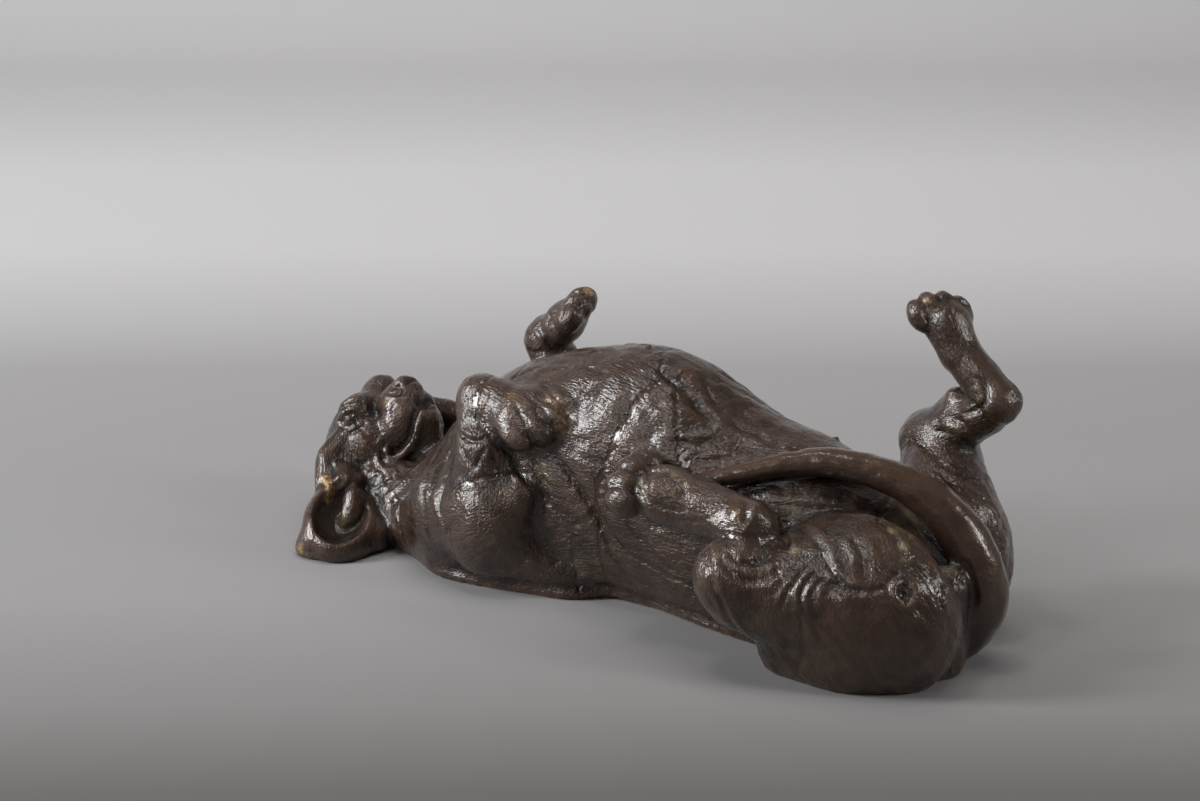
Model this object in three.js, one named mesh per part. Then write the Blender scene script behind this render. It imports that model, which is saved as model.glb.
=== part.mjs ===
// A bronze puppy asleep on its back, cast in one piece.
// The figure is worked like clay: plain solid forms are joined and carved with soft edges, and the surface
// of the result is meshed. It lies along X with its head at -X and its rump at +X, belly up, its right side
// towards -Y, and it rests on the flat underside of the casting at z = 0.
import * as THREE from 'three';

// Driving sizes
const figureLength = 400;      // from the crown of the head to the bend of the tail, mm
const gridStep = 3;            // of the grid that the surface is found on, mm
const triangleBudget = 9400;   // triangles left in the finished mesh

// The landmarks below are written in pose units, and 420.3 of them are the figure's length
const unit = figureLength / 420.3;

// Shares of the figure, in pose units
const seam = 1.6;              // softness of a carved line, such as the mouth
const crease = 3;              // softness where a toe or an eyelid meets the form under it
const fold = 8;                // softness where a limb meets the body
const flesh = 16;              // softness inside the trunk
const toeWidth = 5.5;
const tailRoot = 16;           // radii along the tail
const tailMiddle = 9;
const tailTip = 3;

// Vectors
const mm = (size) => (Array.isArray(size) ? size.map((s) => s * unit) : size * unit);
const add = (a, b) => [a[0] + b[0], a[1] + b[1], a[2] + b[2]];
const sub = (a, b) => [a[0] - b[0], a[1] - b[1], a[2] - b[2]];
const times = (a, s) => [a[0] * s, a[1] * s, a[2] * s];
const dot = (a, b) => a[0] * b[0] + a[1] * b[1] + a[2] * b[2];
const cross = (a, b) => [a[1] * b[2] - a[2] * b[1], a[2] * b[0] - a[0] * b[2], a[0] * b[1] - a[1] * b[0]];
const length = (a) => Math.hypot(a[0], a[1], a[2]);
const normal = (a) => times(a, 1 / length(a));
const between = (a, b, t) => add(a, times(sub(b, a), t));

// Right-handed axes: ahead as given, up made square to it, side = up x ahead
function axes(ahead, up) {
  const a = normal(ahead);
  const u = normal(sub(up, times(a, dot(up, a))));
  return { ahead: a, side: cross(u, a), up: u };
}
const upright = { ahead: [1, 0, 0], side: [0, 1, 0], up: [0, 0, 1] };
const place = (frame, origin, ahead, side, up) =>
  add(origin, add(times(frame.ahead, ahead), add(times(frame.side, side), times(frame.up, up))));
const bothSides = (make) => [make(-1), make(1)];

// Solid forms
// A form is a ball that encloses it, centre and reach, and distance(x, y, z), which is negative inside it.
// Forms take their places and radii in pose units and work in millimetres.
function softMin(a, b, soft) {
  const h = Math.max(soft - Math.abs(a - b), 0) / soft;
  return Math.min(a, b) - (h * h * h * soft) / 6;
}

function egg(place3, radii, frame = upright) {
  const c = mm(place3);
  const [ra, rs, ru] = mm(radii);
  const { ahead, side, up } = frame;
  return {
    centre: c,
    reach: Math.max(ra, rs, ru),
    distance(x, y, z) {
      const p = [x - c[0], y - c[1], z - c[2]];
      const a = dot(p, ahead) / ra;
      const s = dot(p, side) / rs;
      const u = dot(p, up) / ru;
      const k0 = Math.hypot(a, s, u);
      const k1 = Math.hypot(a / ra, s / rs, u / ru);
      return k1 < 1e-9 ? -Math.min(ra, rs, ru) : (k0 * (k0 - 1)) / k1;
    },
  };
}
const ball = (place3, radius) => egg(place3, [radius, radius, radius]);

// A round cone: a ball at each end and the skin drawn over them
function cone(from, to, radiusFrom, radiusTo) {
  const [a, b, ra, rb] = [mm(from), mm(to), mm(radiusFrom), mm(radiusTo)];
  const ab = sub(b, a);
  const l2 = dot(ab, ab);
  const dr = ra - rb;
  const a2 = l2 - dr * dr;
  return {
    centre: between(a, b, 0.5),
    reach: Math.sqrt(l2) / 2 + Math.max(ra, rb),
    distance(x, y, z) {
      const p = [x - a[0], y - a[1], z - a[2]];
      const along = dot(p, ab);
      const past = along - l2;
      const across = length(sub(times(p, l2), times(ab, along))) ** 2;
      const k = Math.sign(dr) * dr * dr * across;
      const [pastEnd, pastStart] = [past * past * l2, along * along * l2];
      if (Math.sign(past) * a2 * pastEnd > k) return Math.sqrt(across + pastEnd) / l2 - rb;
      if (Math.sign(along) * a2 * pastStart < k) return Math.sqrt(across + pastStart) / l2 - ra;
      return (Math.sqrt((across * a2) / l2) + along * dr) / l2 - ra;
    },
  };
}

function enclose(forms) {
  const low = [0, 1, 2].map((i) => Math.min(...forms.map((f) => f.centre[i] - f.reach)));
  const high = [0, 1, 2].map((i) => Math.max(...forms.map((f) => f.centre[i] + f.reach)));
  const centre = between(low, high, 0.5);
  return { centre, reach: Math.max(...forms.map((f) => length(sub(f.centre, centre)) + f.reach)) };
}

// Forms joined as soft clay; soft is the width of the blend
function join(soft, ...parts) {
  const forms = parts.flat();
  const k = mm(soft);
  return {
    ...enclose(forms),
    distance(x, y, z) {
      let d = Infinity;
      for (const form of forms) {
        if (length(sub([x, y, z], form.centre)) - form.reach - d > k) continue;
        const next = form.distance(x, y, z);
        d = d === Infinity ? next : softMin(d, next, k);
      }
      return d;
    },
  };
}

// Tools pressed into a form
function carve(soft, form, ...tools) {
  const k = mm(soft);
  return {
    ...form,
    distance(x, y, z) {
      let d = form.distance(x, y, z);
      for (const tool of tools.flat()) {
        if (tool.reach - length(sub([x, y, z], tool.centre)) < d - k) continue;
        d = -softMin(-d, tool.distance(x, y, z), k);
      }
      return d;
    },
  };
}

// A smooth curve through rows of numbers that are ordered by their first number
function curveThrough(rows, at) {
  let i = 0;
  while (i < rows.length - 2 && at > rows[i + 1][0]) i++;
  const [from, to] = [rows[i], rows[i + 1]];
  const [before, after] = [rows[Math.max(i - 1, 0)], rows[Math.min(i + 2, rows.length - 1)]];
  const width = to[0] - from[0];
  const t = Math.min(Math.max((at - from[0]) / width, 0), 1);
  return from.map((_, j) => {
    const slopeFrom = ((to[j] - before[j]) / (to[0] - before[0])) * width;
    const slopeTo = ((after[j] - from[j]) / (after[0] - from[0])) * width;
    return (2 * t ** 3 - 3 * t ** 2 + 1) * from[j] + (t ** 3 - 2 * t ** 2 + t) * slopeFrom
      + (3 * t ** 2 - 2 * t ** 3) * to[j] + (t ** 3 - t ** 2) * slopeTo;
  });
}

// A round rope along a smooth curve through knots [x, y, z, radius]
function rope(knots, links = 4) {
  const rows = knots.map((knot, i) => [i, ...knot]);
  const beads = [];
  for (let i = 0; i <= (knots.length - 1) * links; i++) beads.push(curveThrough(rows, i / links).slice(1));
  const forms = [];
  for (let i = 1; i < beads.length; i++) {
    forms.push(cone(beads[i - 1].slice(0, 3), beads[i].slice(0, 3), beads[i - 1][3], beads[i][3]));
  }
  return {
    ...enclose(forms),
    distance(x, y, z) {
      let d = Infinity;
      for (const form of forms) {
        if (length(sub([x, y, z], form.centre)) - form.reach < d) d = Math.min(d, form.distance(x, y, z));
      }
      return d;
    },
  };
}

// A trunk along X with elliptical sections, from stations [x, half width, low z, high z]
function trunk(stations) {
  const rows = stations.map(mm);
  const first = rows[0][0];
  const last = rows[rows.length - 1][0];
  const step = mm(1);
  const sections = [];
  for (let x = first; x <= last; x += step) sections.push(curveThrough(rows, x));
  const section = (x, y, z) => {
    const at = Math.min(Math.max((x - first) / step, 0), sections.length - 1.001);
    const from = sections[Math.floor(at)];
    const to = sections[Math.floor(at) + 1];
    const [, width, low, high] = from.map((v, j) => v + (to[j] - v) * (at % 1));
    const height = (high - low) / 2;
    const a = y / width;
    const b = (z - (low + high) / 2) / height;
    const k0 = Math.hypot(a, b);
    const k1 = Math.hypot(a / width, b / height);
    return k1 < 1e-9 ? -Math.min(width, height) : (k0 * (k0 - 1)) / k1;
  };
  const low = Math.min(...rows.map((r) => r[2]));
  const high = Math.max(...rows.map((r) => r[3]));
  const widest = Math.max(...rows.map((r) => r[1]));
  return {
    centre: [(first + last) / 2, 0, (low + high) / 2],
    reach: Math.hypot((last - first) / 2, widest, (high - low) / 2),
    distance(x, y, z) {
      const inside = Math.min(Math.max(x, first), last);
      const slope = (section(inside + 1, y, z) - section(inside - 1, y, z)) / 2;
      const flank = section(inside, y, z) / Math.hypot(1, slope);
      const beyond = Math.abs(x - inside);
      return beyond > 0 ? Math.hypot(Math.max(flank, 0), beyond) : Math.max(flank, first - x, x - last);
    },
  };
}

// Surface
// The grid's cells from first on, x running fastest, one in every step
function* cells(count, first, step = 1) {
  for (let k = first[2]; k < count[2] - 1; k += step) {
    for (let j = first[1]; j < count[1] - 1; j += step) {
      for (let i = first[0]; i < count[0] - 1; i += step) yield [i, j, k];
    }
  }
}

// A grid cell's corners are numbered by their bits, and a mask has a bit for each corner that is inside.
// One sheet passes through the cell when its inside corners hang together, its outside corners do too, and
// no face has its inside corners on a diagonal.
function holdsOneSheet(mask) {
  const hangTogether = (set) => {
    let reached = set & -set;
    for (let turn = 0; turn < 7; turn++) {
      for (let c = 0; c < 8; c++) {
        if (set & (1 << c) && [1, 2, 4].some((bit) => reached & (1 << (c ^ bit)))) reached |= 1 << c;
      }
    }
    return reached === set;
  };
  for (const [u, w, across] of [[1, 2, 4], [2, 4, 1], [4, 1, 2]]) {
    for (const base of [0, across]) {
      const face = [base, base | u, base | u | w, base | w].map((c) => (mask >> c) & 1);
      if (face[0] === face[2] && face[1] === face[3] && face[0] !== face[1]) return false;
    }
  }
  return hangTogether(mask) && hangTogether(~mask & 255);
}

// A cell with two sheets in it would pinch the mesh, so its outside corner nearest to the surface is
// filled, until every cell holds one sheet. Corners on the ground stay outside.
function separateSheets(value, count, index, corners) {
  const single = [...Array(256).keys()].map(holdsOneSheet);
  for (let changed = true; changed;) {
    changed = false;
    for (const [i, j, k] of cells(count, [0, 0, 1])) {
      const cell = corners.map(([a, b, c]) => index(i + a, j + b, k + c));
      const mask = cell.reduce((m, n, c) => (value[n] < 0 ? m | (1 << c) : m), 0);
      if (single[mask]) continue;
      const free = cell.filter((n, c) => value[n] >= 0 && k + corners[c][2] > 1);
      const nearest = free.sort((m, n) => value[m] - value[n])[0];
      if (nearest === undefined) continue;
      value[nearest] = -1e-3;
      changed = true;
    }
  }
}

// Surface nets: one point in each grid cell that the surface passes through, four of them round each
// grid edge that it crosses
function findSurface(distance, low, high, step) {
  const count = low.map((v, i) => Math.ceil((high[i] - v) / step) + 1);
  const stride = [1, count[0], count[0] * count[1]];
  const index = (i, j, k) => i + stride[1] * j + stride[2] * k;
  const value = new Float64Array(count[0] * count[1] * count[2]);
  const block = 4;             // grid points are tested four by four by four, and only near blocks in full
  const middle = (block - 1) / 2;
  const near = step * block * 1.5;
  for (const [i, j, k] of cells(count, [0, 0, 0], block)) {
    const at = (a, b, c) => distance(low[0] + a * step, low[1] + b * step, low[2] + c * step);
    const d = at(i + middle, j + middle, k + middle);
    for (let c = k; c < Math.min(k + block, count[2]); c++) {
      for (let b = j; b < Math.min(j + block, count[1]); b++) {
        for (let a = i; a < Math.min(i + block, count[0]); a++) {
          value[index(a, b, c)] = Math.abs(d) < near ? at(a, b, c) : d;
        }
      }
    }
  }

  const corners = [0, 1, 2, 3, 4, 5, 6, 7].map((c) => [c & 1, (c >> 1) & 1, c >> 2]);
  const edges = corners.flatMap((_, c) => [1, 2, 4].filter((bit) => !(c & bit)).map((bit) => [c, c | bit]));
  separateSheets(value, count, index, corners);
  const pointOf = new Int32Array(value.length).fill(-1);
  const points = [];
  for (const [i, j, k] of cells(count, [0, 0, 0])) {
    const v = corners.map(([a, b, c]) => value[index(i + a, j + b, k + c)]);
    const crossings = edges.filter(([p, q]) => v[p] < 0 !== v[q] < 0)
      .map(([p, q]) => between(corners[p], corners[q], v[p] / (v[p] - v[q])));
    if (!crossings.length) continue;
    const mean = times(crossings.reduce(add), 1 / crossings.length);
    pointOf[index(i, j, k)] = points.length;
    points.push(add(low, times(add([i, j, k], mean), step)));
  }

  const triangles = [];
  for (const [i, j, k] of cells(count, [1, 1, 1])) {
    const here = index(i, j, k);
    for (let axis = 0; axis < 3; axis++) {
      const inside = value[here] < 0;
      if (inside === value[here + stride[axis]] < 0) continue;
      const u = stride[(axis + 1) % 3];
      const w = stride[(axis + 2) % 3];
      const [a, b, c, d] = [here - u - w, here - w, here, here - u].map((cell) => pointOf[cell]);
      if (inside) triangles.push([a, b, c], [a, c, d]);
      else triangles.push([a, c, b], [a, d, c]);
    }
  }
  return { points, triangles };
}

// The grid's lowest layer of cells holds the rim of the underside: its points are moved onto the outline
// that the figure has at z = 0, which leaves the underside flat and its rim clean
function settleRim(points, distance, step) {
  const reach = 0.2 * step;
  for (const p of points) {
    if (p[2] > 0.999 * step || p[2] < 1e-6) continue;
    const from = [...p];
    p[2] = 0;
    for (let turn = 0; turn < 4; turn++) {
      const d = distance(p[0], p[1], 0);
      const gx = (distance(p[0] + reach, p[1], 0) - distance(p[0] - reach, p[1], 0)) / (2 * reach);
      const gy = (distance(p[0], p[1] + reach, 0) - distance(p[0], p[1] - reach, 0)) / (2 * reach);
      const steep = Math.max(gx * gx + gy * gy, 0.05);
      p[0] -= (d * gx) / steep;
      p[1] -= (d * gy) / steep;
    }
    const moved = Math.hypot(p[0] - from[0], p[1] - from[1]);
    if (moved > step) {
      p[0] = from[0] + ((p[0] - from[0]) * step) / moved;
      p[1] = from[1] + ((p[1] - from[1]) * step) / moved;
    }
  }
}

// Thins a closed mesh to the number of triangles asked for. Each edge's cost is the error that its collapse
// makes, from the planes of the triangles round it, and the cheapest goes first.
function thin(points, triangles, budget) {
  const facesOf = points.map(() => new Set());
  triangles.forEach((t, f) => t.forEach((v) => facesOf[v].add(f)));
  const faceNormal = ([a, b, c]) => cross(sub(points[b], points[a]), sub(points[c], points[a]));

  // A quadric is the ten numbers of a symmetric 4 x 4 matrix
  const quadrics = points.map(() => new Float64Array(10));
  const addPlane = (q, n, d, weight) => {
    const p = [...n, d];
    let slot = 0;
    for (let r = 0; r < 4; r++) for (let c = r; c < 4; c++) q[slot++] += weight * p[r] * p[c];
  };
  for (const t of triangles) {
    const n = faceNormal(t);
    const area = length(n) / 2;
    if (area < 1e-12) continue;
    const plane = normal(n);
    for (const v of t) {
      addPlane(quadrics[v], plane, -dot(plane, points[v]), area);
      // A little weight on the point itself keeps flat stretches evenly meshed
      for (const axis of [[1, 0, 0], [0, 1, 0], [0, 0, 1]]) {
        addPlane(quadrics[v], axis, -dot(axis, points[v]), area * 0.002);
      }
    }
  }
  const error = (q, [x, y, z]) => q[0] * x * x + 2 * q[1] * x * y + 2 * q[2] * x * z + 2 * q[3] * x
    + q[4] * y * y + 2 * q[5] * y * z + 2 * q[6] * y + q[7] * z * z + 2 * q[8] * z + q[9];
  const best = (q, a, b) => {
    const columns = [[q[0], q[1], q[2]], [q[1], q[4], q[5]], [q[2], q[5], q[7]]];
    const det = dot(columns[0], cross(columns[1], columns[2]));
    const middle = between(a, b, 0.5);
    if (Math.abs(det) > 1e-9) {
      const right = [-q[3], -q[6], -q[8]];
      const at = [
        dot(right, cross(columns[1], columns[2])) / det,
        dot(columns[0], cross(right, columns[2])) / det,
        dot(columns[0], cross(columns[1], right)) / det];
      if (length(sub(at, middle)) < 1.2 * length(sub(a, b))) return at;
    }
    return [a, b, middle].sort((p, r) => error(q, p) - error(q, r))[0];
  };

  // A heap of the edges, cheapest first; an entry is stale once either of its ends has changed
  const version = new Int32Array(points.length);
  const heap = [];
  const push = (item) => {
    let i = heap.push(item) - 1;
    while (i && heap[(i - 1) >> 1].cost > item.cost) {
      heap[i] = heap[(i - 1) >> 1];
      i = (i - 1) >> 1;
    }
    heap[i] = item;
  };
  const pop = () => {
    const top = heap[0];
    const last = heap.pop();
    if (heap.length) {
      let i = 0;
      for (;;) {
        let child = 2 * i + 1;
        if (child >= heap.length) break;
        if (child + 1 < heap.length && heap[child + 1].cost < heap[child].cost) child++;
        if (heap[child].cost >= last.cost) break;
        heap[i] = heap[child];
        i = child;
      }
      heap[i] = last;
    }
    return top;
  };
  const offer = (a, b) => {
    const q = quadrics[a].map((v, i) => v + quadrics[b][i]);
    const at = best(q, points[a], points[b]);
    push({ a, b, at, q, cost: error(q, at), stamp: version[a] + version[b] });
  };
  const neighbours = (v) => {
    const found = new Set();
    for (const f of facesOf[v]) for (const w of triangles[f]) if (w !== v) found.add(w);
    return found;
  };
  for (const t of triangles) t.forEach((v, i) => { if (v < t[(i + 1) % 3]) offer(v, t[(i + 1) % 3]); });

  // A triangle may not turn over, nor become a sliver
  const keepsShape = (v, other, at) => {
    for (const f of facesOf[v]) {
      const t = triangles[f];
      if (t.includes(other)) continue;
      const [a, b, c] = t.map((w) => (w === v ? at : points[w]));
      const before = faceNormal(t);
      const after = cross(sub(b, a), sub(c, a));
      const longest = Math.max(length(sub(a, b)), length(sub(b, c)), length(sub(c, a)));
      if (dot(before, after) < 0.35 * length(before) * length(after)) return false;
      if (length(after) < 0.12 * longest * longest) return false;
    }
    return true;
  };
  let left = triangles.length;
  while (left > budget && heap.length) {
    const { a, b, at, q, stamp } = pop();
    if (stamp !== version[a] + version[b] || !facesOf[a].size || !facesOf[b].size) continue;
    const around = neighbours(a);
    if (!around.has(b)) continue;
    const shared = [...neighbours(b)].filter((v) => around.has(v));
    if (shared.length !== 2 || !keepsShape(a, b, at) || !keepsShape(b, a, at)) continue;
    for (const f of [...facesOf[b]]) {
      const t = triangles[f];
      if (t.includes(a)) {
        t.forEach((v) => facesOf[v].delete(f));
        triangles[f] = null;
        left--;
      } else {
        t[t.indexOf(b)] = a;
        facesOf[a].add(f);
      }
    }
    facesOf[b].clear();
    points[a] = at;
    quadrics[a] = q;
    version[a]++;
    for (const v of neighbours(a)) offer(a, v);
  }

  const renumber = new Map();
  const kept = triangles.filter(Boolean).map((t) => t.map((v) => {
    if (!renumber.has(v)) renumber.set(v, renumber.size);
    return renumber.get(v);
  }));
  return { points: [...renumber.keys()].map((v) => points[v]), triangles: kept };
}

// Head
// The head's axes: ahead to the nose, which points up and towards the chest, side to the far eye, and up to
// the brow
const head = axes([0.471, 0, 0.882], [-0.878, -0.05, 0.469]);
const skull = [-199, 0, 38];
const inHead = (ahead, side, up) => place(head, skull, ahead, side, up);

function headForm() {
  const cranium = join(10,
    egg(inHead(1, 0, -9), [24, 24, 24], head),
    egg(inHead(20, 0, -1), [18, 17, 13], head),
    ...bothSides((s) => egg(inHead(15, 13.5 * s, -14), [18, 15.5, 15.5], head)),
    egg(inHead(8, 0, -30), [22, 18, 13], head),
    egg(inHead(12, 0, 3), [15, 20, 12], head),
    cone([-184, -10, 18], [-150, -14, 22], 14, 17),
    cone([-171, -14, 29], [-146, -18, 20], 16.5, 18));
  const lip = (s) => rope([
    [...inHead(50, 5.5 * s, -31), 2.2], [...inHead(44, 9.5 * s, -34.5), 2.4],
    [...inHead(37, 12 * s, -37), 2.6], [...inHead(30, 15 * s, -36.5), 2.8],
    [...inHead(23.5, 18 * s, -34.5), 3], [...inHead(23, 19.5 * s, -30.5), 2.8],
    [...inHead(25.5, 19.5 * s, -28), 2]]);
  const muzzle = join(6,
    egg(inHead(41, 0, -15), [16, 12, 12], head),
    ...bothSides((s) => egg(inHead(35.5, 7.5 * s, -23), [17.5, 10.5, 11.5], head)),
    egg(inHead(50.3, 0, -16.5), [8.5, 9.5, 8.5], head));
  const jaw = join(4,
    cone(inHead(9, 0, -33), inHead(31, 0, -38), 15, 11),
    cone(inHead(31, 0, -38), inHead(44.5, 0, -33.5), 11, 8));
  const face = join(seam, join(fold, cranium, muzzle), join(5, jaw, bothSides(lip)));
  const browed = join(9, face,
    egg(inHead(26.5, -12.5, 2), [13, 9.5, 9], head),
    egg(inHead(29.5, 12.5, 5.5), [12, 9.5, 9.5], head));
  const nosed = join(crease, browed, egg(inHead(54.3, 0, -13), [5, 7.8, 6], head));
  const mouth = (s) => rope([
    [...inHead(54, 0, -26.5), 1.5], [...inHead(51.5, 7 * s, -28.5), 1.5],
    [...inHead(46, 11.5 * s, -31.8), 1.6], [...inHead(38, 13.5 * s, -34), 1.6],
    [...inHead(30.5, 17 * s, -33.8), 1.6], [...inHead(27, 19.5 * s, -30.5), 1.5]]);
  const eyeball = (s) => ball(inHead(26.5, 18.2 * s, -1), 5.7);
  return join(2, carve(seam, nosed, bothSides(mouth)), bothSides(eyeball));
}

// The near ear has dropped open on the ground: a hollowed leaf with a rolled root and a lobe in its bowl
function nearEar() {
  const leaf = axes([0.43, -0.77, -0.48], [0.45, -0.25, 0.86]);
  const middle = [-164, -54, 14];
  const outside = join(fold,
    egg(middle, [27, 21, 14], leaf),
    ball([-172, -68, 4], 10),
    ball([-150, -45, 8], 10));
  const bowl = egg(place(leaf, middle, 1, -2.5, 13.5), [21.5, 15.5, 15], leaf);
  const root = join(6,
    rope([[-186, -20, 50, 8], [-190, -32, 43, 6.5], [-186, -41, 33, 6], [-180, -48, 24, 5]], 3),
    cone([-190, -18, 36], [-174, -40, 30], 14, 9));
  const foldedEdge = rope([[-184, -40, 35, 3], [-179, -46, 28, 3], [-177, -51, 19, 2.5]], 3);
  const innerFold = rope([[-169, -35, 33, 4.5], [-173, -40, 31, 4.5], [-178, -45, 26, 3]], 3);
  const lobe = rope([[-163, -44, 27, 6], [-161, -48, 20, 6], [-164, -53, 10, 4]], 3);
  return join(3, carve(4, join(6, outside, root), bowl), foldedEdge, innerFold, lobe);
}

function farEar() {
  const leaf = axes([0.9, 0.2, 0.3], [-0.2, -0.3, 0.9]);
  return join(6,
    rope([[-188, 22, 50, 8], [-175, 36, 55, 7], [-162, 46, 51, 6.5], [-152, 54, 38, 6]], 3),
    egg([-162, 50, 24], [18, 9, 26], leaf),
    cone([-176, 24, 30], [-158, 44, 22], 14, 10));
}

// Trunk
// Stations along the back: x, half width, low z, high z. Low z is under the ground, where the casting is
// flat.
function trunkForm() {
  const mass = join(flesh,
    trunk([
      [-160, 20, 0, 32], [-144, 26, -8, 45], [-126, 32, -10, 62], [-106, 41, -10, 85], [-86, 48, -10, 102],
      [-58, 50, -16, 115], [-30, 49, -20, 123], [0, 47, -16, 128], [28, 46, -18, 124.5], [52, 46, -26, 113],
      [74, 47, -32, 103], [96, 48, -34, 98], [116, 46, -30, 90], [140, 42, -18, 76], [163, 34, -10, 56],
      [180, 22, -4, 36]]),
    ...bothSides((s) => egg([-78, 30 * s, 22], [44, 28, 38])),
    ...bothSides((s) => cone([-146, 19 * s, 12], [-98, 29 * s, 18], 19, 28)),
    ...bothSides((s) => cone([-86, 35 * s, -2], [-28, 28 * s, -2], 22, 20)));
  // Furrows of the belly's skin, and the fold behind the near shoulder
  const furrows = [
    rope([[12, -20, 129, 3], [28, -19, 125, 6], [48, -22, 116, 7], [68, -29, 104, 6], [100, -33, 101, 4]]),
    rope([[28, 0, 131, 3], [44, -3, 124, 6], [64, -13, 111, 6.5], [92, -10, 104, 4]]),
    rope([[-30, -50, 82, 3], [-12, -53, 66, 6], [5, -51, 42, 6], [12, -48, 26, 4]])];
  return carve(6, mass, furrows);
}

// Limbs
// Toes from rows of [ahead, side, up, length, height], all in a paw's own axes
const toes = (paw, origin, rows) => rows.map(([ahead, side, up, long, high]) =>
  egg(place(paw, origin, ahead, side, up), [long, toeWidth, high], paw));

function nearForeleg() {
  const paw = axes([0.97, -0.06, -0.22], [0.25, -0.6, 0.76]);
  const wrist = [-81, -36, 95];
  const arm = join(10,
    cone([-98, -40, 34], [-62, -48, 38], 24, 24),
    cone([-68, -46, 46], [-70, -44, 70], 22, 17),
    cone([-70, -43, 72], wrist, 17, 13.5));
  const elbow = cone([-62, -48, 50], [-46, -52, 53], 14, 9);
  const palm = join(5, egg([-66, -39, 96], [18, 13, 11], paw), egg([-50, -42, 94], [18, 16, 10], paw));
  return join(crease, join(fold, arm, elbow, palm), toes(paw, [-40, -43, 90], [
    [3, 14, 2, 10, 7.5], [5, 5.5, 2, 11, 8], [2, -4, 2, 11, 8], [-5, -12, 0, 10, 7]]));
}

function farForeleg() {
  const paw = axes([0.75, 0, 0.66], [-0.6, -0.35, 0.72]);
  const wrist = [-85, 28, 112];
  const arm = join(10,
    cone([-100, 40, 40], [-56, 50, 46], 26, 22),
    cone([-62, 46, 52], [-80, 30, 100], 20, 12));
  const palm = join(4, egg([-86, 28, 114], [13, 12, 10], paw), egg([-73, 28, 124], [14, 14, 11], paw));
  return join(crease, join(fold, arm, cone([-80, 29, 98], wrist, 12, 11), palm), toes(paw, [-66, 28, 131], [
    [0, 11, 0, 9, 7], [3, 4, 1, 10, 8], [3, -4, 1, 10, 8], [0, -11, 0, 9, 7]]));
}

function nearHindLeg() {
  const paw = axes([-0.97, -0.1, 0.05], [0.1, -0.55, 0.83]);
  const hock = [100, -62, 69];
  const thigh = join(14,
    egg([148, -40, 31], [53, 35, 46]),
    cone([146, -44, 36], [104, -72, 42], 35, 20),
    cone([122, -54, 12], [150, -52, 14], 18, 22));
  const shank = cone([98, -74, 48], [103, -66, 58], 19, 14);
  const foot = join(5,
    egg([101, -64, 65], [12.5, 13, 17]),
    cone(hock, [74, -60, 73], 13.5, 12.5),
    cone([74, -60, 73], [50, -60, 75], 12.5, 15));
  const pad = egg(place(paw, [48, -62, 80], 0, 0, 2), [11, 10, 5], paw);
  // The edge of the inner thigh, and the hollow beside the tail's root
  const thighEdge = rope([
    [112, -68, 73, 4], [130, -73, 71, 6], [148, -75, 68, 6.5], [164, -70, 66, 6], [178, -62, 64, 4]]);
  const hollow = egg([186, -22, 54], [12, 14, 14]);
  const leg = carve(5, join(fold, thigh, shank), thighEdge, hollow);
  return join(crease, leg, foot, pad, toes(paw, [32, -62, 79], [
    [0, 12, 0, 9, 6], [4, 4.5, 1, 10, 6.5], [4, -4.5, 1, 10, 6.5], [0, -12, -1, 9, 6]]));
}

function farHindLeg() {
  const paw = axes([-0.6, 0.1, 0.78], [0.6, -0.45, 0.5]);
  const hock = [173, 51, 116];
  const thigh = join(12, egg([144, 38, 34], [44, 33, 42]), cone([154, 34, 50], [138, 60, 80], 30, 19));
  const shank = join(6,
    cone([130, 62, 86], [164, 53, 109], 16, 11.5),
    cone([143, 58, 104], [148, 55, 112], 8, 7));
  const foot = join(4,
    cone([165, 53, 110], hock, 11, 10.5),
    cone(hock, [148, 56, 136], 10.5, 10),
    cone([148, 56, 136], [139, 58, 149], 10, 12));
  return join(crease, join(fold, thigh, shank), foot, toes(paw, [136, 58, 152], [
    [5, 11, 0, 9, 6], [6, 4, 1, 9, 6.5], [3.5, -4, 1, 9, 6.5], [-1, -10.5, 0, 9, 6]]));
}

// The tail comes out under the rump, turns up round it and lies over the belly towards the near hind paw
function tailForm() {
  return rope([
    [154, 0, 16, 20], [178, 0, 14, tailRoot], [192, 0, 36, 14], [181, -2, 66, 11.5],
    [154, -9, 87, tailMiddle], [114, -22, 94, 7], [76, -42, 85, 4.5], [55, -50, 80, tailTip]], 6);
}

// The casting
function puppyForm() {
  const limbs = [nearForeleg(), farForeleg(), nearHindLeg(), farHindLeg()];
  const besideTail = cone([180, -20, 8], [184, -19, 44], 14, 10);
  const body = join(fold, join(9, trunkForm(), limbs, besideTail), headForm());
  const whole = join(5, body, nearEar(), farEar(), tailForm());
  return { ...whole, distance: (x, y, z) => Math.max(whole.distance(x, y, z), -z) };
}

function puppyMesh() {
  const form = puppyForm();
  const low = mm([-232, -112, 0]);
  low[2] = -gridStep;
  const high = mm([222, 100, 180]);
  const { points, triangles } = findSurface(form.distance, low, high, gridStep);
  settleRim(points, form.distance, gridStep);
  const thinned = thin(points, triangles, triangleBudget);

  const geometry = new THREE.BufferGeometry();
  geometry.setAttribute('position', new THREE.BufferAttribute(new Float32Array(thinned.points.flat()), 3));
  geometry.setIndex(thinned.triangles.flat());
  // The part's origin is the middle of its underside's box
  geometry.computeBoundingBox();
  const { min, max } = geometry.boundingBox;
  geometry.translate(-(min.x + max.x) / 2, -(min.y + max.y) / 2, -min.z);
  geometry.computeVertexNormals();

  const bronze = new THREE.MeshStandardMaterial({ color: 0x3a2c24, metalness: 0.9, roughness: 0.35 });
  bronze.name = 'patinated bronze';
  const mesh = new THREE.Mesh(geometry, bronze);
  mesh.name = 'puppy';
  return mesh;
}

const figure = new THREE.Group();
figure.name = 'dog_figurine';
figure.add(puppyMesh());

export default figure;
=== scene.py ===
import math

import bpy
import numpy as np
from mathutils import Matrix, Vector


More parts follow.
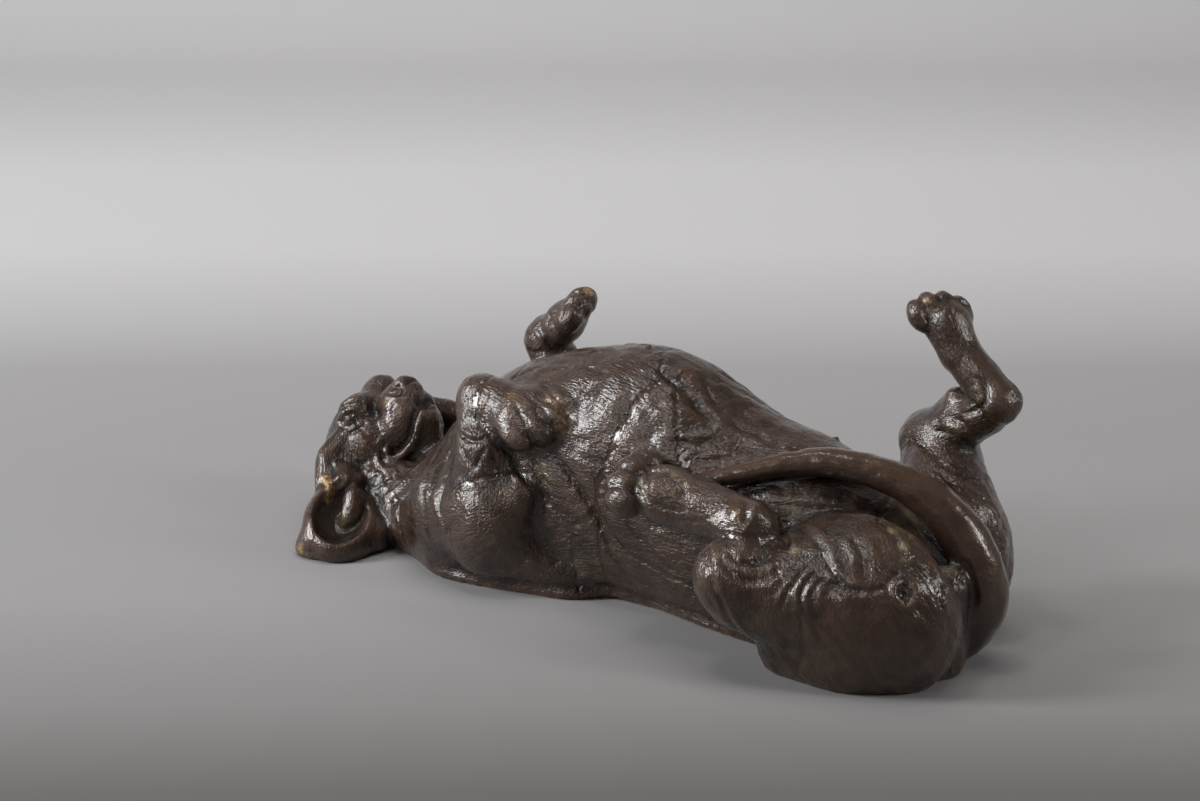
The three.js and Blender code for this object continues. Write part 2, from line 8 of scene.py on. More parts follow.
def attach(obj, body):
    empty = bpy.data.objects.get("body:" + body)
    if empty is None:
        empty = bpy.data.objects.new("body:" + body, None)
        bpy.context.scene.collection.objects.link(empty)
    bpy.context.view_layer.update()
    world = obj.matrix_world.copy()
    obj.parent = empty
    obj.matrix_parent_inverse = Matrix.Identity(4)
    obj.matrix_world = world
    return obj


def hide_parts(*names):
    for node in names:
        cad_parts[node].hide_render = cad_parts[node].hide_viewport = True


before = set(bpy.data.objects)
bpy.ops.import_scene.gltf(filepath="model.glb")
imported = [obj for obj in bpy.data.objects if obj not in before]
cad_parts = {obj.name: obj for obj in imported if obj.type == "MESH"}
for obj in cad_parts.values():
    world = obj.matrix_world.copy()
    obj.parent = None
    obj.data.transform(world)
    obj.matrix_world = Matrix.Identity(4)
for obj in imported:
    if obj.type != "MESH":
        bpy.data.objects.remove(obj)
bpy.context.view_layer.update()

# The figure is worked like clay, in pose units: 420.3 of them are its length
LENGTH = 0.400
UNIT = LENGTH / 420.3
ROOM = np.array([[-232, -112, 0], [222, 100, 180]])    # a box that holds the figure
STEP = 1.15                # of the grid that the surface is found on
TRIANGLES = 190000
SEAM, CREASE, FOLD, FLESH = 1.6, 3, 8, 16              # softness of the joins, from sharp to smooth
TOE_WIDTH = 5.5
FAR = 12.0                 # distances are only followed up to here

# The photograph was taken from this far round the figure's right side, and this far above it
AROUND, ABOVE = math.radians(35), math.radians(17)


# Vectors

def unit(v):
    v = np.asarray(v, float)
    return v / np.linalg.norm(v)


def axes(ahead, up):
    a = unit(ahead)
    u = unit(np.asarray(up, float) - a * np.dot(up, a))
    return np.array([a, np.cross(u, a), u])


UPRIGHT = np.eye(3)


def place(axis, origin, ahead, side, up):
    return np.asarray(origin, float) + ahead * axis[0] + side * axis[1] + up * axis[2]


def both_sides(make):
    return [make(-1), make(1)]


# Solid forms: a ball that encloses each, and its distance at an array of points

class Form:
    def __init__(self, centre, reach, distance):
        self.centre = np.asarray(centre, float)
        self.reach = float(reach)
        self.distance = distance

    def beyond(self, p):
        return np.linalg.norm(p - self.centre, axis=1) - self.reach


def soft_min(a, b, soft):
    h = np.maximum(soft - np.abs(a - b), 0) / soft
    return np.minimum(a, b) - h * h * h * soft / 6


def egg(centre, radii, axis=UPRIGHT):
    c = np.asarray(centre, float)
    r = np.asarray(radii, float)

    def distance(p):
        q = (p - c) @ axis.T / r
        k0 = np.linalg.norm(q, axis=1)
        k1 = np.maximum(np.linalg.norm(q / r, axis=1), 1e-9)
        return k0 * (k0 - 1) / k1

    return Form(c, r.max(), distance)


def ball(centre, radius):
    return egg(centre, [radius, radius, radius])


def cone(start, end, r_start, r_end):
    a, b = np.asarray(start, float), np.asarray(end, float)
    ab = b - a
    l2 = ab @ ab
    dr = r_start - r_end
    a2 = l2 - dr * dr

    def distance(p):
        q = p - a
        along = q @ ab
        past = along - l2
        across = ((q * l2 - np.outer(along, ab)) ** 2).sum(axis=1)
        k = np.sign(dr) * dr * dr * across
        d_past, d_start = past * past * l2, along * along * l2
        return np.where(
            np.sign(past) * a2 * d_past > k, np.sqrt(across + d_past) / l2 - r_end,
            np.where(
                np.sign(along) * a2 * d_start < k, np.sqrt(across + d_start) / l2 - r_start,
                (np.sqrt(across * a2 / l2) + along * dr) / l2 - r_start))

    return Form((a + b) / 2, math.sqrt(l2) / 2 + max(r_start, r_end), distance)


def enclose(forms):
    low = np.min([f.centre - f.reach for f in forms], axis=0)
    high = np.max([f.centre + f.reach for f in forms], axis=0)
    centre = (low + high) / 2
    return centre, max(np.linalg.norm(f.centre - centre) + f.reach for f in forms)


def flat(parts):
    return [f for part in parts for f in (part if isinstance(part, (list, tuple)) else [part])]


def join(soft, *parts):
    forms = flat(parts)

    def distance(p):
        d = np.full(len(p), FAR)
        for form in forms:
            near = np.nonzero(form.beyond(p) - d <= soft)[0]
            if len(near):
                found = form.distance(p[near])
                d[near] = soft_min(d[near], found, soft) if soft else np.minimum(d[near], found)
        return d

    return Form(*enclose(forms), distance)


def carve(soft, form, *tools):
    cuts = flat(tools)

    def distance(p):
        d = form.distance(p)
        for tool in cuts:
            near = np.nonzero(-tool.beyond(p) >= d - soft)[0]
            if len(near):
                d[near] = -soft_min(-d[near], tool.distance(p[near]), soft)
        return d

    return Form(form.centre, form.reach, distance)


def curve_through(rows, at):
    rows = np.asarray(rows, float)
    at = np.atleast_1d(np.asarray(at, float))
    i = np.clip(np.searchsorted(rows[:, 0], at, side="right") - 1, 0, len(rows) - 2)
    start, end = rows[i], rows[i + 1]
    before, after = rows[np.maximum(i - 1, 0)], rows[np.minimum(i + 2, len(rows) - 1)]
    width = (end[:, :1] - start[:, :1])
    t = np.clip((at[:, None] - start[:, :1]) / width, 0, 1)
    slope_start = (end - before) / (end[:, :1] - before[:, :1]) * width
    slope_end = (after - start) / (after[:, :1] - start[:, :1]) * width
    return ((2 * t ** 3 - 3 * t ** 2 + 1) * start + (t ** 3 - 2 * t ** 2 + t) * slope_start
            + (3 * t ** 2 - 2 * t ** 3) * end + (t ** 3 - t ** 2) * slope_end)


def beads(knots, links):
    rows = [[i, *knot] for i, knot in enumerate(knots)]
    return curve_through(rows, np.arange((len(knots) - 1) * links + 1) / links)[:, 1:]


def rope(knots, links=4):
    chain = beads(knots, links)
    return join(0, [cone(a[:3], b[:3], a[3], b[3]) for a, b in zip(chain, chain[1:])])


def trunk(stations):
    rows = np.asarray(stations, float)
    first, last = rows[0, 0], rows[-1, 0]
    table = curve_through(rows, np.arange(first, last + 1e-6, 1.0))

    def section(x, y, z):
        at = np.clip(x - first, 0, len(table) - 1.001)
        i = at.astype(int)
        _, width, low, high = (table[i] + (table[i + 1] - table[i]) * (at % 1)[:, None]).T
        height = (high - low) / 2
        a, b = y / width, (z - (low + high) / 2) / height
        k0 = np.hypot(a, b)
        k1 = np.maximum(np.hypot(a / width, b / height), 1e-9)
        return k0 * (k0 - 1) / k1

    def distance(p):
        x, y, z = p.T
        inside = np.clip(x, first, last)
        slope = (section(inside + 1, y, z) - section(inside - 1, y, z)) / 2
        flank = section(inside, y, z) / np.hypot(1, slope)
        past = np.abs(x - inside)
        return np.where(past > 0, np.hypot(np.maximum(flank, 0), past),
                        np.maximum(flank, np.maximum(first - x, x - last)))

    low, high = rows[:, 2].min(), rows[:, 3].max()
    reach = math.hypot((last - first) / 2, rows[:, 1].max(), (high - low) / 2)
    return Form([(first + last) / 2, 0, (low + high) / 2], reach, distance)


# The surface

def sample(form, low, count):
    """Distances at every grid point; far from the surface only their sign is right."""
    value = np.full(count, FAR, np.float32)

    def centres(blocks, size):
        return low + (blocks * size + (size - 1) / 2) * STEP

    size = 8
    blocks = np.argwhere(np.ones([-(-n // size) for n in count], bool))
    while True:
        d = form.distance(centres(blocks, size))
        near = np.abs(d) < size * STEP * 1.45
        for (i, j, k), dist in zip(blocks[~near] * size, d[~near]):
            if dist < 0:
                value[i:i + size, j:j + size, k:k + size] = dist
        blocks = blocks[near]
        if size == 4:
            break
        halves = np.argwhere(np.ones((2, 2, 2), bool))
        blocks = (blocks[:, None] * 2 + halves).reshape(-1, 3)
        size = 4
    cell = np.argwhere(np.ones((size, size, size), bool))
    points = (blocks[:, None] * size + cell).reshape(-1, 3)
    points = points[(points < count).all(axis=1)]
    value[tuple(points.T)] = form.distance(low + points * STEP)
    return value


def find_surface(form, low, high):
    """Surface nets: one point in each cell that the surface passes through."""
    low = np.asarray(low, float)
    count = np.ceil((np.asarray(high, float) - low) / STEP).astype(int) + 1
    value = sample(form, low, count)
    inside = value < 0
    corners = np.argwhere(np.ones((2, 2, 2), bool))

    def shifted(a, c):
        return a[c[0]:count[0] - 1 + c[0], c[1]:count[1] - 1 + c[1], c[2]:count[2] - 1 + c[2]]

    number = sum(shifted(inside, c).astype(np.int8) for c in corners)
    cells = np.argwhere((number > 0) & (number < 8))
    v = np.stack([value[tuple((cells + c).T)] for c in corners], axis=1)
    total = np.zeros((len(cells), 3))
    hits = np.zeros(len(cells))
    for p, cp in enumerate(corners):
        for q, cq in enumerate(corners):
            if q > p and np.abs(cp - cq).sum() == 1:
                cross = (v[:, p] < 0) != (v[:, q] < 0)
                t = v[cross, p] / (v[cross, p] - v[cross, q])
                total[cross] += cp + (cq - cp) * t[:, None]
                hits[cross] += 1
    points = low + (cells + total / hits[:, None]) * STEP
    point_of = np.full(count, -1, np.int32)
    point_of[tuple(cells.T)] = np.arange(len(cells))
    quads = []
    for axis in range(3):
        e, u, w = np.eye(3, dtype=int)[[axis, (axis + 1) % 3, (axis + 2) % 3]]
        here = [slice(1, count[i] - 1) for i in range(3)]
        there = [slice(1 + e[i], count[i] - 1 + e[i]) for i in range(3)]
        change = inside[tuple(here)] != inside[tuple(there)]
        at = np.argwhere(change) + 1
        start = inside[tuple(at.T)]
        ring = np.stack([point_of[tuple((at - s).T)] for s in (u + w, w, 0 * u, u)], axis=1)
        ring[~start] = ring[~start][:, ::-1]
        quads.append(ring)
    return points, np.concatenate(quads)


# Head: ahead to the nose, side to the far eye, up to the brow

HEAD = axes([0.471, 0, 0.882], [-0.878, -0.05, 0.469])
SKULL = [-199, 0, 38]


def in_head(ahead, side, up):
    return place(HEAD, SKULL, ahead, side, up)


def head_form():
    cranium = join(
        10,
        egg(in_head(1, 0, -9), [24, 24, 24], HEAD),
        egg(in_head(20, 0, -1), [18, 17, 13], HEAD),
        both_sides(lambda s: egg(in_head(15, 13.5 * s, -14), [18, 15.5, 15.5], HEAD)),
        egg(in_head(8, 0, -30), [22, 18, 13], HEAD),
        egg(in_head(12, 0, 3), [15, 20, 12], HEAD),
        cone([-184, -10, 18], [-150, -14, 22], 14, 17),
        cone([-171, -14, 29], [-146, -18, 20], 16.5, 18))

    def lip(s):
        return rope([
            [*in_head(50, 5.5 * s, -31), 2.2], [*in_head(44, 9.5 * s, -34.5), 2.4],
            [*in_head(37, 12 * s, -37), 2.6], [*in_head(30, 15 * s, -36.5), 2.8],
            [*in_head(23.5, 18 * s, -34.5), 3], [*in_head(23, 19.5 * s, -30.5), 2.8],
            [*in_head(25.5, 19.5 * s, -28), 2]])

    muzzle = join(
        6,
        egg(in_head(41, 0, -15), [16, 12, 12], HEAD),
        both_sides(lambda s: egg(in_head(35.5, 7.5 * s, -23), [17.5, 10.5, 11.5], HEAD)),
        egg(in_head(50.3, 0, -16.5), [8.5, 9.5, 8.5], HEAD))
    jaw = join(
        4,
        cone(in_head(9, 0, -33), in_head(31, 0, -38), 15, 11),
        cone(in_head(31, 0, -38), in_head(44.5, 0, -33.5), 11, 8))
    face = join(SEAM, join(FOLD, cranium, muzzle), join(5, jaw, both_sides(lip)))
    browed = join(
        9, face,
        egg(in_head(26.5, -12.5, 2), [13, 9.5, 9], HEAD),
        egg(in_head(29.5, 12.5, 5.5), [12, 9.5, 9.5], HEAD))
    nosed = join(CREASE, browed, egg(in_head(54.3, 0, -13), [5, 7.8, 6], HEAD))

    def mouth(s):
        return rope([
            [*in_head(54, 0, -26.5), 1.5], [*in_head(51.5, 7 * s, -28.5), 1.5],
            [*in_head(46, 11.5 * s, -31.8), 1.6], [*in_head(38, 13.5 * s, -34), 1.6],
            [*in_head(30.5, 17 * s, -33.8), 1.6], [*in_head(27, 19.5 * s, -30.5), 1.5]])

    def eyeball(s):
        return ball(in_head(26.5, 18.2 * s, -1), 5.7)

    return join(2, carve(SEAM, nosed, both_sides(mouth)), both_sides(eyeball))


def near_ear():
    leaf = axes([0.43, -0.77, -0.48], [0.45, -0.25, 0.86])
    middle = [-164, -54, 14]
    outside = join(FOLD, egg(middle, [27, 21, 14], leaf), ball([-172, -68, 4], 10), ball([-150, -45, 8], 10))
    bowl = egg(place(leaf, middle, 1, -2.5, 13.5), [21.5, 15.5, 15], leaf)
    root = join(
        6,
        rope([[-186, -20, 50, 8], [-190, -32, 43, 6.5], [-186, -41, 33, 6], [-180, -48, 24, 5]], 3),
        cone([-190, -18, 36], [-174, -40, 30], 14, 9))
    folded_edge = rope([[-184, -40, 35, 3], [-179, -46, 28, 3], [-177, -51, 19, 2.5]], 3)
    inner_fold = rope([[-169, -35, 33, 4.5], [-173, -40, 31, 4.5], [-178, -45, 26, 3]], 3)
    lobe = rope([[-163, -44, 27, 6], [-161, -48, 20, 6], [-164, -53, 10, 4]], 3)
    return join(3, carve(4, join(6, outside, root), bowl), folded_edge, inner_fold, lobe)


def far_ear():
    leaf = axes([0.9, 0.2, 0.3], [-0.2, -0.3, 0.9])
    return join(
        6,
        rope([[-188, 22, 50, 8], [-175, 36, 55, 7], [-162, 46, 51, 6.5], [-152, 54, 38, 6]], 3),
        egg([-162, 50, 24], [18, 9, 26], leaf),
        cone([-176, 24, 30], [-158, 44, 22], 14, 10))


# Trunk, from stations of x, half width, low z, high z

def trunk_form():
    mass = join(
        FLESH,
        trunk([
            [-160, 20, 0, 32], [-144, 26, -8, 45], [-126, 32, -10, 62], [-106, 41, -10, 85],
            [-86, 48, -10, 102], [-58, 50, -16, 115], [-30, 49, -20, 123], [0, 47, -16, 128],
            [28, 46, -18, 124.5], [52, 46, -26, 113], [74, 47, -32, 103], [96, 48, -34, 98],
            [116, 46, -30, 90], [140, 42, -18, 76], [163, 34, -10, 56], [180, 22, -4, 36]]),
        both_sides(lambda s: egg([-78, 30 * s, 22], [44, 28, 38])),
        both_sides(lambda s: cone([-146, 19 * s, 12], [-98, 29 * s, 18], 19, 28)),
        both_sides(lambda s: cone([-86, 35 * s, -2], [-28, 28 * s, -2], 22, 20)))
    furrows = [
        rope([
            [12, -20, 129, 3], [28, -19, 125, 6], [48, -22, 116, 7], [68, -29, 104, 6], [100, -33, 101, 4]]),
        rope([[28, 0, 131, 3], [44, -3, 124, 6], [64, -13, 111, 6.5], [92, -10, 104, 4]]),
        rope([[-30, -50, 82, 3], [-12, -53, 66, 6], [5, -51, 42, 6], [12, -48, 26, 4]])]
    return carve(6, mass, furrows)


# Limbs

def toes(paw, origin, rows, width=TOE_WIDTH):
    return [egg(place(paw, origin, *at), [long, width, high], paw) for *at, long, high in rows]


def near_foreleg():
    paw = axes([0.97, -0.06, -0.22], [0.25, -0.6, 0.76])
    wrist = [-81, -36, 95]
    arm = join(
        10,
        cone([-98, -40, 34], [-62, -48, 38], 24, 24),
        cone([-68, -46, 46], [-70, -44, 70], 22, 17),
        cone([-70, -43, 72], wrist, 17, 13.5))
    elbow = cone([-62, -48, 50], [-46, -52, 53], 14, 9)
    palm = join(5, egg([-66, -39, 96], [18, 13, 11], paw), egg([-50, -42, 94], [18, 16, 10], paw))
    return join(CREASE, join(FOLD, arm, elbow, palm), toes(paw, [-40, -43, 90], [
        [3, 14, 2, 10, 7.5], [5, 5.5, 2, 11, 8], [2, -4, 2, 11, 8], [-5, -12, 0, 10, 7]]))


def far_foreleg():
    paw = axes([0.75, 0, 0.66], [-0.6, -0.35, 0.72])
    wrist = [-85, 28, 112]
    arm = join(
        10,
        cone([-100, 40, 40], [-56, 50, 46], 26, 22),
        cone([-62, 46, 52], [-80, 30, 100], 20, 12))
    palm = join(4, egg([-86, 28, 114], [13, 12, 10], paw), egg([-73, 28, 124], [14, 14, 11], paw))
    return join(
        CREASE, join(FOLD, arm, cone([-80, 29, 98], wrist, 12, 11), palm),
        toes(paw, [-66, 28, 131], [[0, 11, 0, 9, 7], [3, 4, 1, 10, 8], [3, -4, 1, 10, 8], [0, -11, 0, 9, 7]]))


def near_hind_leg():
    paw = axes([-0.97, -0.1, 0.05], [0.1, -0.55, 0.83])
    hock = [100, -62, 69]
    thigh = join(
        14,
        egg([148, -40, 31], [53, 35, 46]),
        cone([146, -44, 36], [104, -72, 42], 35, 20),
        cone([122, -54, 12], [150, -52, 14], 18, 22))
    shank = cone([98, -74, 48], [103, -66, 58], 19, 14)
    foot = join(
        5,
        egg([101, -64, 65], [12.5, 13, 17]),
        cone(hock, [74, -60, 73], 13.5, 12.5),
        cone([74, -60, 73], [50, -60, 75], 12.5, 15))
    pad = egg(place(paw, [48, -62, 80], 0, 0, 2), [11, 10, 5], paw)
    thigh_edge = rope([
        [112, -68, 73, 4], [130, -73, 71, 6], [148, -75, 68, 6.5], [164, -70, 66, 6], [178, -62, 64, 4]])
    hollow = egg([186, -22, 54], [12, 14, 14])
    leg = carve(5, join(FOLD, thigh, shank), thigh_edge, hollow)
    return join(CREASE, leg, foot, pad, toes(paw, [32, -62, 79], [
        [-1, 13, 0, 10, 8.5], [1, 4.8, 1, 11, 9], [1, -4.8, 1, 10.5, 9], [-1, -12.5, -1, 9.5, 8]], 7))


def far_hind_leg():
    paw = axes([-0.6, 0.1, 0.78], [0.6, -0.45, 0.5])
    hock = [173, 51, 116]
    thigh = join(12, egg([144, 38, 34], [44, 33, 42]), cone([154, 34, 50], [138, 60, 80], 30, 19))
    shank = join(
        6,
        cone([130, 62, 86], [164, 53, 109], 16, 11.5),
        cone([143, 58, 104], [148, 55, 112], 8, 7))
    foot = join(
        4,
        cone([165, 53, 110], hock, 11, 10.5),
        cone(hock, [148, 56, 136], 10.5, 10),
        cone([148, 56, 136], [139, 58, 149], 10, 12))
    return join(CREASE, join(FOLD, thigh, shank), foot, toes(paw, [136, 58, 152], [
        [5, 11, 0, 9, 6], [6, 4, 1, 9, 6.5], [3.5, -4, 1, 9, 6.5], [-1, -10.5, 0, 9, 6]]))


def tail_form():
    return rope([
        [154, 0, 16, 20], [178, 0, 14, 16], [192, 0, 36, 14], [181, -2, 66, 11.5],
        [154, -9, 87, 9], [114, -22, 94, 7], [76, -42, 85, 4.5], [55, -50, 80, 3]], 6)


def puppy_form():
    limbs = [near_foreleg(), far_foreleg(), near_hind_leg(), far_hind_leg()]
    beside_tail = cone([180, -20, 8], [184, -19, 44], 14, 10)
    under_elbow = cone([-66, -48, 26], [-32, -39, 12], 22, 12)
    body = join(FOLD, join(9, trunk_form(), limbs, beside_tail, under_elbow), head_form())
    whole = join(5, body, near_ear(), far_ear(), tail_form())
    return Form(whole.centre, whole.reach, lambda p: np.maximum(whole.distance(p), -p[:, 2]))


# Work on the surface once it is found

def vertex_normals(points, triangles):
    a, b, c = points[triangles].transpose(1, 0, 2)
    face = np.cross(b - a, c - a)
    total = np.zeros_like(points)
    for i in range(3):
        for axis in range(3):
            total[:, axis] += np.bincount(triangles[:, i], face[:, axis], len(points))
    return total / np.maximum(np.linalg.norm(total, axis=1), 1e-12)[:, None]


def smoothed(values, edges, rounds):
    """The mean of each vertex and its neighbours, taken over and over."""
    shape = values.shape
    v = values.reshape(len(values), -1).astype(float)
    ends = np.concatenate([edges[:, 0], edges[:, 1]])
    others = np.concatenate([edges[:, 1], edges[:, 0]])
    count = np.bincount(ends, minlength=len(v))[:, None] + 1.0
    for _ in range(rounds):
        beside = [np.bincount(ends, v[others, i], len(v)) for i in range(v.shape[1])]
        v = (v + np.stack(beside, axis=1)) / count
    return v.reshape(shape)


def mesh_edges(triangles):
    pairs = np.concatenate([triangles[:, [0, 1]], triangles[:, [1, 2]], triangles[:, [2, 0]]])
    return np.unique(np.sort(pairs, axis=1), axis=0)


def spots(points, rows):
    """How much of each row's ball, [x, y, z, radius, strength], covers each point."""
    total = np.zeros(len(points))
    for x, y, z, radius, strength in rows:
        d = np.linalg.norm(points - [x, y, z], axis=1) / radius
        total = np.maximum(total, strength * np.clip(1 - d * d, 0, 1))
    return total


# Carved relief: strokes over the surface, each its width, its height, negative for a groove, and its knots

EYE_AND_BROW = [
    (1.3, 1.0, [[-189, -25, 56], [-192, -22, 60], [-188, -22, 65], [-184, -21, 67], [-180, -19, 67],
                [-178, -17, 64]]),
    (1.0, -0.8, [[-192, -24, 54], [-197, -19, 59], [-191, -21, 66], [-185, -20, 70], [-180, -17, 70]]),
    (0.9, -1.2, [[-187, -25, 57], [-188, -23, 60], [-185, -23, 64], [-181, -20, 66]]),
    (1.3, 0.9, [[-185, -26, 56], [-181, -24, 57], [-178, -21, 60], [-178, -18, 63]]),
    (1.0, -0.7, [[-183, -27, 55], [-179, -24, 56], [-175, -21, 59], [-176, -18, 62]]),
    (2.4, 0.8, [[-193, -19, 67], [-189, -18, 71], [-183, -16, 73], [-179, -14, 70]]),
    (1.5, -1.0, [[-181, -12, 73], [-178, -12, 70], [-177, -14, 65]]),
    (1.2, -0.7, [[-192, -15, 73], [-188, -14, 74], [-182, -14, 74]]),
    (1.1, 0.7, [[-177, -19, 61], [-174, -18, 61], [-171, -18, 59]])]
NOSE_AND_MOUTH = [
    (1.7, -2.4, [[-165, -7, 80], [-162, -7, 81], [-162, -6, 83]]),
    (1.2, 0.8, [[-168, -8, 77], [-163, -9, 77], [-160, -8, 79]]),
    (1.5, -2.0, [[-158, -3, 83], [-158, 0, 84]]),
    (0.9, -0.9, [[-160, -6, 82], [-158, -7, 80], [-156, -8, 77]]),
    (1.3, -0.7, [[-167, -10, 75], [-160, -10, 75], [-156, -8, 77]]),
    (1.4, -0.6, [[-181, -7, 72], [-176, -11, 67], [-170, -14, 62], [-166, -18, 57]]),
    (1.2, -0.5, [[-163, -11, 73], [-161, -15, 67], [-158, -16, 60]]),
    (1.5, -0.7, [[-152, 4, 71], [-145, -2, 68]]),
    (1.4, -1.2, [[-161, -20, 48], [-162, -21, 44], [-158, -22, 41], [-154, -22, 41]]),
    (1.4, 0.9, [[-165, -20, 48], [-164, -22, 44], [-162, -24, 41], [-156, -25, 39], [-152, -24, 40]]),
    (1.2, -0.8, [[-166, -23, 44], [-165, -25, 42], [-161, -27, 39], [-156, -27, 38]]),
    (2.4, -1.1, [[-184, -36, 45], [-179, -34, 43], [-174, -32, 41], [-170, -28, 40], [-167, -25, 43]])]
NEAR_EAR = [
    (1.6, -1.2, [[-185, -38, 43], [-179, -42, 39], [-174, -47, 34]]),
    (1.6, 1.0, [[-185, -46, 37], [-180, -47, 34], [-175, -50, 30], [-175, -52, 25]]),
    (1.6, 0.9, [[-175, -49, 30], [-172, -45, 31], [-169, -43, 34], [-170, -41, 38]]),
    (1.4, -0.9, [[-168, -40, 37], [-168, -42, 33], [-167, -47, 30], [-173, -46, 26]]),
    (1.4, 0.8, [[-171, -78, 3], [-166, -77, 2], [-158, -78, 4]]),
    (2.0, -0.9, [[-157, -47, 27], [-153, -46, 21], [-145, -50, 16]])]
THROAT = [
    (1.8, 1.0, [[-165, -34, 33], [-161, -29, 36], [-155, -26, 39], [-150, -22, 40], [-150, -12, 42]]),
    (1.3, -1.2, [[-160, -33, 29], [-152, -31, 34], [-146, -27, 37], [-144, -20, 40], [-145, -13, 42]]),
    (1.5, 0.9, [[-149, -35, 27], [-143, -33, 32], [-139, -28, 37], [-139, -20, 42], [-132, -18, 49]]),
    (1.4, -1.3, [[-143, -38, 25], [-133, -38, 31], [-129, -36, 39], [-124, -31, 48], [-119, -25, 57]]),
    (0.9, -0.6, [[-159, -26, 39], [-155, -28, 37], [-152, -30, 35]]),
    (0.9, -0.6, [[-155, -24, 40], [-151, -26, 38], [-148, -29, 36]]),
    (0.9, -0.6, [[-153, -20, 41], [-149, -23, 40], [-145, -25, 38]]),
    (0.9, -0.6, [[-162, -29, 37], [-159, -31, 34], [-156, -32, 32]]),
    (1.4, -0.6, [[-145, -39, 22], [-137, -43, 18], [-127, -47, 15]]),
    (1.6, -1.3, [[-116, -50, 40], [-114, -45, 50], [-111, -38, 58], [-104, -34, 66]]),
    (1.5, 1.0, [[-107, -59, 45], [-105, -56, 51], [-109, -47, 54], [-113, -36, 57]]),
    (1.5, -1.4, [[-96, -63, 44], [-96, -59, 50], [-99, -52, 55], [-101, -43, 59], [-97, -40, 66]]),
    (1.5, 0.9, [[-92, -59, 52], [-93, -54, 56], [-95, -46, 59]]),
    (1.5, -1.2, [[-86, -66, 44], [-87, -61, 52], [-89, -54, 58], [-90, -47, 66]]),
    (1.6, -0.9, [[-102, -60, 48], [-99, -63, 41], [-97, -65, 33], [-95, -63, 24]]),
    (1.5, 0.8, [[-93, -61, 49], [-89, -66, 42], [-84, -68, 36], [-79, -68, 29]]),
    (1.4, -0.7, [[-114, -58, 29], [-107, -61, 25], [-101, -60, 20]]),
    (1.5, -0.7, [[-85, -68, 37], [-75, -68, 28], [-72, -59, 15], [-62, -56, 8]]),
    (1.4, -0.8, [[-73, -71, 40], [-78, -69, 33], [-82, -65, 25], [-82, -61, 18]])]
NEAR_FORELEG = [
    (1.4, -1.2, [[-84, -53, 83], [-74, -59, 81], [-66, -59, 81], [-61, -55, 83]]),
    (1.5, 0.9, [[-84, -52, 85], [-73, -58, 83], [-66, -57, 83]]),
    (1.3, -1.1, [[-76, -60, 76], [-71, -62, 72], [-65, -63, 68], [-63, -61, 74], [-61, -58, 78]]),
    (1.3, -1, [[-59, -57, 76], [-56, -57, 69], [-52, -58, 62]]),
    (1.6, 1.2, [[-53, -53, 70], [-46, -53, 63], [-38, -55, 55]]),
    (1.4, -1.2, [[-51, -50, 70], [-43, -51, 63], [-37, -52, 55]]),
    (1.2, -1.3, [[-47, -29, 107], [-32, -38, 105], [-26, -39, 100], [-21, -40, 95]]),
    (1.2, -1.3, [[-45, -43, 104], [-34, -45, 100], [-25, -45, 92]]),
    (1.2, -1.3, [[-50, -49, 101], [-41, -53, 95], [-36, -53, 86]]),
    (1.6, 1, [[-38, -54, 81], [-37, -47, 71], [-31, -48, 65]])]
SHOULDER = [
    (3, -2.2, [[-44, -47, 74], [-38, -48, 70], [-34, -48, 64], [-32, -49, 57], [-34, -50, 46]]),
    (1.5, -1.4, [[-28, -45, 78], [-20, -46, 71], [-11, -46, 62], [-2, -45, 50], [4, -44, 37],
                 [7, -43, 29]]),
    (1.6, -0.7, [[-22, -48, 49], [-5, -46, 41], [8, -42, 27], [20, -37, 11]])]
BELLY = [
    (6, 0.8, [[-30, -29, 109], [-25, -31, 108]]),
    (6, -1, [[-18, -31, 109], [-14, -34, 106]]),
    (7, 1, [[-8, -32, 108], [-2, -34, 106]]),
    (6, -0.8, [[9, -36, 102], [19, -36, 99]]),
    (7, 1, [[14, -40, 91], [20, -41, 87]]),
    (5, -0.8, [[25, -39, 93], [27, -36, 98]]),
    (6, 1, [[29, -31, 106], [34, -31, 104]]),
    (7, 1, [[35, -46, 44], [39, -45, 39]]),
    (3, -1.3, [[13, -15, 124], [28, -18, 117], [42, -21, 110], [54, -24, 102]]),
    (2.6, -1.3, [[31, -7, 123], [44, -12, 114], [63, -17, 103], [80, -16, 97], [106, -27, 100]]),
    (1.6, 0.8, [[27, -28, 110], [36, -26, 108], [46, -24, 105]]),
    (1.6, -0.8, [[23, -25, 114], [34, -24, 112], [45, -21, 108], [54, -21, 103]]),
    (1.8, -0.9, [[34, -5, 122], [43, -11, 115], [50, -15, 110]]),
    (1.6, -0.8, [[8, -20, 121], [17, -21, 119], [27, -24, 115]]),
    (1.5, 0.8, [[34, -34, 99], [46, -32, 97], [56, -27, 98], [67, -24, 96]]),
    (1.5, -0.8, [[36, -36, 94], [50, -33, 93], [64, -29, 92], [76, -24, 92]]),
    (1.5, -0.7, [[49, -37, 87], [61, -33, 88], [72, -28, 91]]),
    (1.6, -0.7, [[-71, -21, 105], [-61, -16, 110], [-46, -15, 116], [-32, -16, 119]]),
    (1.6, -0.6, [[-60, -12, 111], [-47, -9, 118], [-30, -8, 122]]),
    (1.5, -0.6, [[-51, -21, 111], [-39, -20, 115], [-22, -21, 118], [-8, -24, 118]]),
    (1.8, -0.8, [[17, -46, 49], [31, -45, 39], [46, -45, 29]]),
    (1.5, -0.6, [[5, -46, 66], [23, -46, 57], [38, -46, 50]])]
TEATS = [[-16, -33, 107], [37, 10, 120], [100, 18, 92], [0, -1, 128], [44, -38, 92], [-30, 20, 119]]
